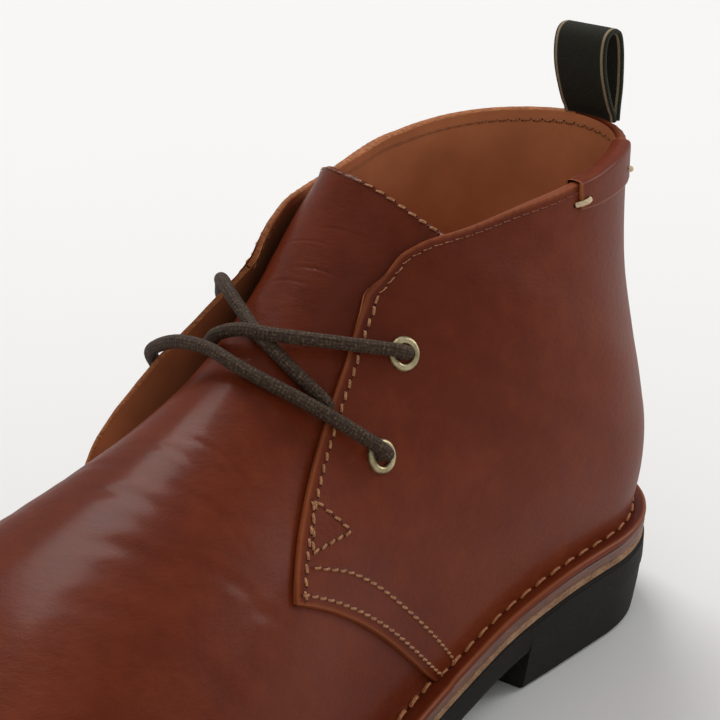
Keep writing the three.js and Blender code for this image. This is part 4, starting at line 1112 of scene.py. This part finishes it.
def outsole():
    piece = Sheet("rubber_sole", [speckled_rubber()])
    top = -2 * GAP - MIDSOLE

    def at(share):
        return lambda s: tread(s) + share * (bed(s) + top - tread(s))

    banded(piece, [(5, at(1)), (1.2, at(1)), (0.65, at(0.95)), (0.5, at(0.8)), (0.55, at(0.4)),
                   (0.8, at(0.2)), (1.3, at(0.07)), (2.2, at(0.0)), (4, at(0.0))], 0)
    lid(piece, 4, tread, 0)

    def block(share):
        return lambda s: share * (tread(s) + 1.0)

    sides = [(0.45, at(0.9)), (0.48, at(0.5)), (0.6, at(0.15)), (0.3 * HEEL_TAPER, block(0.96)),
             (0.5 * HEEL_TAPER, block(0.6)), (0.75 * HEEL_TAPER, block(0.25)),
             (0.9 * HEEL_TAPER, block(0.07)), (1.3 * HEEL_TAPER, block(0.0))]
    # The block's underside starts a little behind its front face
    rounding = 0.5
    ends = [HEEL_LENGTH - (rounding if inset > 1.2 * HEEL_TAPER else 0) for inset, _ in sides]
    rings = np.stack([ring(inset, height, end) for (inset, height), end in zip(sides, ends)])
    piece.grid(rings, 0, closed=True)
    lid(piece, 1.3 * HEEL_TAPER, lambda s: 0 * s, 0, HEEL_LENGTH - rounding)
    hand_over(piece.make(40), "black_rubber", "outsole")


def insole():
    piece = Sheet("insole_board", [insole_leather()])
    inset = 8.6
    lid(piece, inset, over_bed(INSOLE), 0, across=9)
    side = inset - 0.2
    banded(piece, [(inset, over_bed(INSOLE)), (side, over_bed(INSOLE - 0.8)), (side, over_bed(0.2))], 0)
    hand_over(piece.make(50), "tan_leather", "insole")


def eyelet_frame(place, side):
    station, girth = place
    step = 0.01

    def at(t, g):
        return offset(np.array(t), np.array(side * g), QUARTER + flap_lift(np.array(t), np.array(side * g)))

    up = at(station + step, girth) - at(station - step, girth)
    over = at(station, girth + step) - at(station, girth - step)
    out = np.cross(up, over)
    out /= np.linalg.norm(out)
    if np.dot(out, last_normal(station, side * girth)) < 0:
        out = -out
    return at(station, girth), out


def axes_of(out):
    first = np.cross(out, [0.0, 0.0, 1.0])
    first /= np.linalg.norm(first)
    return first, np.cross(out, first)


def eyelets():
    brass = aged_brass()
    outer, bore = EYELET_RADIUS, EYELET_BORE
    # Round the ring's section: radius, height over the leather
    profile = [
        (bore - 0.05, -1.5), (bore - 0.05, 0.25), (bore, 0.75), (bore + 0.18, 1.08),
        (mix(bore, outer, 0.35), 1.24), (mix(bore, outer, 0.6), 1.2), (mix(bore, outer, 0.82), 0.98),
        (outer - 0.08, 0.62), (outer, 0.3), (outer - 0.05, 0.02), (outer - 0.5, -0.1),
    ]
    turns = np.linspace(0, 2 * math.pi, 49)[:-1]
    for side, side_name in ((1, "outer"), (-1, "inner")):
        for row, place in EYELETS.items():
            middle, out = eyelet_frame(place, side)
            first, second = axes_of(out)
            round_way = np.cos(turns)[:, None] * first + np.sin(turns)[:, None] * second
            rings = np.stack([middle + out * height + radius * round_way for radius, height in profile])
            name = f"ring_{side_name}_{row}"
            piece = Sheet(name, [brass, HOLE_SHADE])
            piece.grid(rings, 0, closed=True)
            # A near-black disc sunk in the bore: painted shade inside the eyelet's hole.
            dark = np.stack([middle - out * 0.6 + radius * round_way for radius in (bore - 0.02, 0.0)])
            piece.grid(dark, 1, closed=True)
            hand_over(piece.make(50), "antique_brass", f"eyelet_{side_name}_{row}")


def into_eyelet(place, side, from_station, from_girth):
    over = QUARTER + EYELET_STAND + EYELET_RIM + GAP + CORD_RADIUS + 0.1
    station, girth = place

    def top(t, g):
        return float(flap_lift(t, side * g)) + over

    def share(part):
        return mix(from_station, station, part), mix(from_girth, girth, part)

    rows = [
        [*share(0.5), top(*share(0.5)) - 0.6],
        [*share(0.8), top(*share(0.8)) + 0.1],
        [*share(0.95), top(station, girth) - 0.2],
        [*share(0.94), top(station, girth) - 1.9],
        [*share(0.97), float(flap_lift(station, side * girth)) + 0.6],
    ]
    return [[t, side * g, height] for t, g, height in rows]


def cord_points(rows):
    """A centripetal Catmull-Rom curve through stations, girths and heights over the last."""
    rows = np.array(rows)
    points = off_last(rows[:, 0], rows[:, 1], rows[:, 2])
    padded = np.concatenate([2 * points[:1] - points[1:2], points, 2 * points[-1:] - points[-2:-1]])
    knots = np.concatenate([[0], np.cumsum(np.linalg.norm(np.diff(padded, axis=0), axis=1) ** 0.5)])
    made = []
    for i in range(1, len(padded) - 2):
        k0, k1, k2, k3 = knots[i - 1:i + 3]
        p0, p1, p2, p3 = padded[i - 1:i + 3]
        k = np.linspace(k1, k2, 14)[:-1, None]
        a1 = (k1 - k) / (k1 - k0) * p0 + (k - k0) / (k1 - k0) * p1
        a2 = (k2 - k) / (k2 - k1) * p1 + (k - k1) / (k2 - k1) * p2
        a3 = (k3 - k) / (k3 - k2) * p2 + (k - k2) / (k3 - k2) * p3
        b1 = (k2 - k) / (k2 - k0) * a1 + (k - k0) / (k2 - k0) * a2
        b2 = (k3 - k) / (k3 - k1) * a2 + (k - k1) / (k3 - k1) * a3
        made.append((k2 - k) / (k2 - k1) * b1 + (k - k1) / (k2 - k1) * b2)
    return np.concatenate(made + [points[-1:]])


def tube(piece, path, radius, sides=20):
    way = np.gradient(path, axis=0)
    way /= np.linalg.norm(way, axis=1, keepdims=True)
    first = np.cross(way[0], [0, 0, 1.0])
    frames = []
    for step in way:
        first = first - step * np.dot(first, step)
        first = first / np.linalg.norm(first)
        frames.append(first)
    first = np.array(frames)
    second = np.cross(way, first)
    turns = np.linspace(0, 2 * math.pi, sides + 1)
    ring_way = np.cos(turns)[None, :, None] * first[:, None] + np.sin(turns)[None, :, None] * second[:, None]
    run = run_of(path)
    around = np.broadcast_to(2 * turns[None], (len(path), sides + 1))
    along = np.broadcast_to(run[:, None], around.shape)
    piece.grid(path[:, None] + radius * ring_way, 0, along=along, around=around)


def lace():
    piece = Sheet("lace_cord", [waxed_cord()])
    # Columns: station, signed share of the half girth, height over the last
    upper_run = into_eyelet(EYELETS["upper"], 1, 0.75, 0.215)[::-1] + [
        [0.737, 0.189, 4.2], [0.71, 0.131, 4], [0.689, 0.064, 3.8], [0.679, -0.023, 3.7],
        [0.674, -0.112, 3.1], [0.68, -0.19, 2], [0.685, -0.24, 1.8]]
    lower_run = into_eyelet(EYELETS["lower"], 1, 0.65, 0.31)[::-1] + [
        [0.641, 0.268, 3.7], [0.631, 0.2, 2.6], [0.622, 0.1, 2], [0.622, 0.02, 2.6], [0.63, -0.07, 4.5],
        [0.638, -0.17, far_gape(0.638) - 0.8], [0.645, -0.255, far_gape(0.645) + 2.0],
        [0.65, -0.3, far_gape(0.65) + 3.2], [0.656, -0.33, far_gape(0.656) + 2.5]
    ] + into_eyelet(EYELETS["lower"], -1, 0.664, 0.35)[1:]
    slant_run = [
        [0.667, 0.298, 0.2], [0.666, 0.268, 1.4], [0.664, 0.228, 1.75], [0.668, 0.14, 1.75],
        [0.676, 0.08, 1.75], [0.69, 0.01, 1.75],
        [0.718, -0.07, 2.2], [0.752, -0.135, far_gape(0.752) - 0.4],
        [0.787, -0.19, far_gape(0.787) + 2.4], [0.803, -0.222, far_gape(0.803) + 3.5],
        [0.808, -0.25, far_gape(0.808) + 3.0]
    ] + into_eyelet(EYELETS["upper"], -1, 0.805, 0.262)[1:]
    for rows in (upper_run, lower_run, slant_run):
        tube(piece, cord_points(rows), CORD_RADIUS)
    hand_over(piece.make(60, weld=False), "waxed_cord", "lace")


def pull_loop():
    """One webbing strip folded over, standing on the collar's rim at the back."""
    piece = Sheet("webbing_loop", [striped_webbing()])
    together = 2 * WEBBING
    rim = last_point(np.array(RIM[-1][0]), np.array(1.0))
    foot, inside = rim[2] + GAP, rim[1] - QUARTER - 0.5
    # Share of the loop's height, back face, front face
    legs = [[-0.03, 0, 1], [0.05, -0.1, 1.15], [0.14, -0.3, 1.6], [0.32, -0.8, 2.25], [0.55, -0.8, 2.85],
            [0.77, -0.3, 3], [0.92, 1, 2.65]]
    half = WEBBING / 2
    back = [[inside + row[1] + half, foot + row[0] * LOOP_HEIGHT] for row in legs]
    front = [[inside + row[2] * together - half, foot + row[0] * LOOP_HEIGHT] for row in legs]
    crown = [[inside + 1.5 * together, foot + LOOP_HEIGHT - half - 0.05]]
    line = spline(np.array(back + crown + front[::-1]), np.linspace(0, 1, 240))
    way = np.gradient(line, axis=0)
    way /= np.linalg.norm(way, axis=1, keepdims=True)
    out = np.stack([-way[:, 1], way[:, 0]], -1)
    run = run_of(np.concatenate([line, np.zeros((len(line), 1))], 1))
    # Round the strip's section: share of the half width, share of the half thickness
    flat = np.linspace(-0.8, 0.8, 17)
    section = [[-1, 0], [-0.985, 0.7], [-0.9, 1]] + [[x, 1] for x in flat]
    section += [[0.9, 1], [0.985, 0.7], [1, 0], [0.985, -0.7], [0.9, -1]]
    section += [[x, -1] for x in flat[::-1]] + [[-0.9, -1], [-0.985, -0.7]]
    section = np.array(section)
    x = LOOP_OFFSET + section[:, 0] * LOOP_WIDTH / 2
    lift = section[:, 1] * (half - 0.05)
    at = line[:, None] + out[:, None] * lift[None, :, None]
    points = np.concatenate([np.broadcast_to(x[None, :, None], (*at.shape[:2], 1)), at], -1)
    across, along = np.broadcast_to(x[None], at.shape[:2]), np.broadcast_to(run[:, None], at.shape[:2])
    piece.grid(points, 0, closed=True, across=across, along=along)
    hand_over(piece.make(60, weld=False), "webbing", "pull_loop")


def collar_tab():
    """Leather folded over the outer rim, sewn down with thick cream thread."""
    piece = Sheet("folded_tab", [LEATHER_SKIN, RAW_EDGE])
    outer, inner, thick = QUARTER + 0.05, -LEATHER - 0.05, TAB_LEATHER
    # Round the fold: drop below the rim, height over the last
    face = [
        [TAB_DROP, outer + 0.15], [TAB_DROP - 0.25, outer + thick], [0.7 * TAB_DROP, outer + thick],
        [0.4 * TAB_DROP, outer + thick], [0.15 * TAB_DROP, outer + thick], [-0.1, outer + 0.9 * thick],
        [-0.9, outer + 0.3 * thick], [-1.3, mix(outer, inner, 0.3)], [-1.35, mix(outer, inner, 0.7)],
        [-0.9, inner - 0.3 * thick], [-0.1, inner - 0.9 * thick], [0.15 * TAB_DROP, inner - thick],
        [0.58 * TAB_DROP, inner - thick], [0.6 * TAB_DROP, inner],
    ]
    share = np.linspace(0, 1, 46)
    line = spline(face, share)
    count = 60
    track = rim_edge(np.linspace(TAB_START, TAB_END, count))
    t = track[:, 0][:, None] - line[None, :, 0] / FEATHER_RUN
    g = np.broadcast_to(track[:, 1][:, None], t.shape)
    points = off_last(t, g, np.broadcast_to(line[None, :, 1], t.shape))
    end = np.abs(np.linspace(-1, 1, count))[:, None]
    from_foot = np.broadcast_to(TAB_DROP - line[None, :, 0], t.shape)
    from_edge = np.minimum(np.minimum((1 - end) * 14, FAR), from_foot)
    piece.grid(points, 0, edge=from_edge, row=FAR, crease=0)
    for end_row in (0, -1):
        back = off_last(t[end_row], g[end_row], np.clip(line[:, 1], inner, outer))
        piece.grid(np.stack([points[end_row], back]), 1, edge=FAR, row=FAR, crease=0)
    hand_over(piece.make(50), "chestnut_leather", "collar_tab")
    threads, hole_shades = Sheet("tab_stitches", [CREAM_THREAD]), Sheet("tab_stitch_hole_shades", [HOLE_SHADE])
    # One thick stitch over each lower corner. Columns: where it starts and ends along the rim, drop at both
    for start, end, high, low in ((0.515, 0.558, 5.4, 6.9), (0.795, 0.752, 5.4, 6.9)):
        at = rim_edge(np.linspace(start, end, 12))
        t, g = at[:, 0] - np.linspace(low, high, 12) / FEATHER_RUN, at[:, 1]
        lift = outer + mix(0.0, thick, ease(0.2, 0.5, np.linspace(0, 1, 12)))
        path = off_last(t, g, lift)
        stitch_row(threads, hole_shades, path, last_normal(t, g), 0.96 * run_of(path)[-1], 0.2, 0.75)
    hand_over(threads.make(60, weld=False), "chestnut_leather")
    hand_over(hole_shades.make(60, weld=False), "chestnut_leather")


def studio():
    floor = bpy.data.meshes.new("floor")
    floor.from_pydata([(-6, -6, 0), (6, -6, 0), (6, 6, 0), (-6, 6, 0)], [], [(0, 1, 2, 3)])
    floor.materials.append(pale_floor())
    ground = bpy.data.objects.new("floor", floor)
    bpy.context.scene.collection.objects.link(ground)
    # Columns: place, target, size, power, colour
    for number, (place, target, size, power, colour) in enumerate([
        ((-0.8, 0.5, 1.55), (0, 0, 0.06), 0.75, 16.5, (1, 0.99, 0.98)),
        ((0.75, 1.5, 0.75), (0, 0, 0.05), 0.7, 9, (0.98, 0.99, 1)),
        ((0.9, -1.2, 1.7), (0, 0, 0.0), 1.6, 3, (1, 1, 1)),
    ]):
        lamp = bpy.data.lights.new(f"softbox_{number}", "AREA")
        lamp.energy, lamp.size, lamp.color = power, size, colour
        light = bpy.data.objects.new(f"softbox_{number}", lamp)
        light.location = place
        light.rotation_euler = (Vector(place) - Vector(target)).to_track_quat("Z", "Y").to_euler()
        bpy.context.scene.collection.objects.link(light)
    world = bpy.data.worlds.new("sky")
    world.use_nodes = True
    world.node_tree.nodes["Background"].inputs["Color"].default_value = (0.97, 0.97, 0.965, 1)
    world.node_tree.nodes["Background"].inputs["Strength"].default_value = 0.52
    bpy.context.scene.world = world
    bpy.context.scene.view_settings.view_transform = "Standard"


def camera():
    """The photograph's view: azimuth, elevation and roll of the line of sight, distance and lens."""
    azimuth, elevation, roll = math.radians(37.76), math.radians(22.22), math.radians(0.27)
    back = Vector((math.sin(azimuth) * math.cos(elevation),
                   -math.cos(azimuth) * math.cos(elevation), math.sin(elevation)))
    right = Vector((math.cos(azimuth), math.sin(azimuth), 0))
    up = back.cross(right)
    turn = Matrix((right, up, back)).transposed() @ Matrix.Rotation(roll, 3, "Z")
    seen = bpy.data.cameras.new("camera")
    seen.lens, seen.sensor_width = 120, 36
    eye = bpy.data.objects.new("camera", seen)
    eye.matrix_world = Matrix.Translation((0.3130, -0.3496, 0.2946)) @ turn.to_4x4()
    bpy.context.scene.collection.objects.link(eye)
    bpy.context.scene.camera = eye


camera()
studio()
vamp_and_tongue()
quarters()
upper_stitches()
flange()
welt_stitches()
midsole()
outsole()
insole()
eyelets()
lace()
pull_loop()
collar_tab()
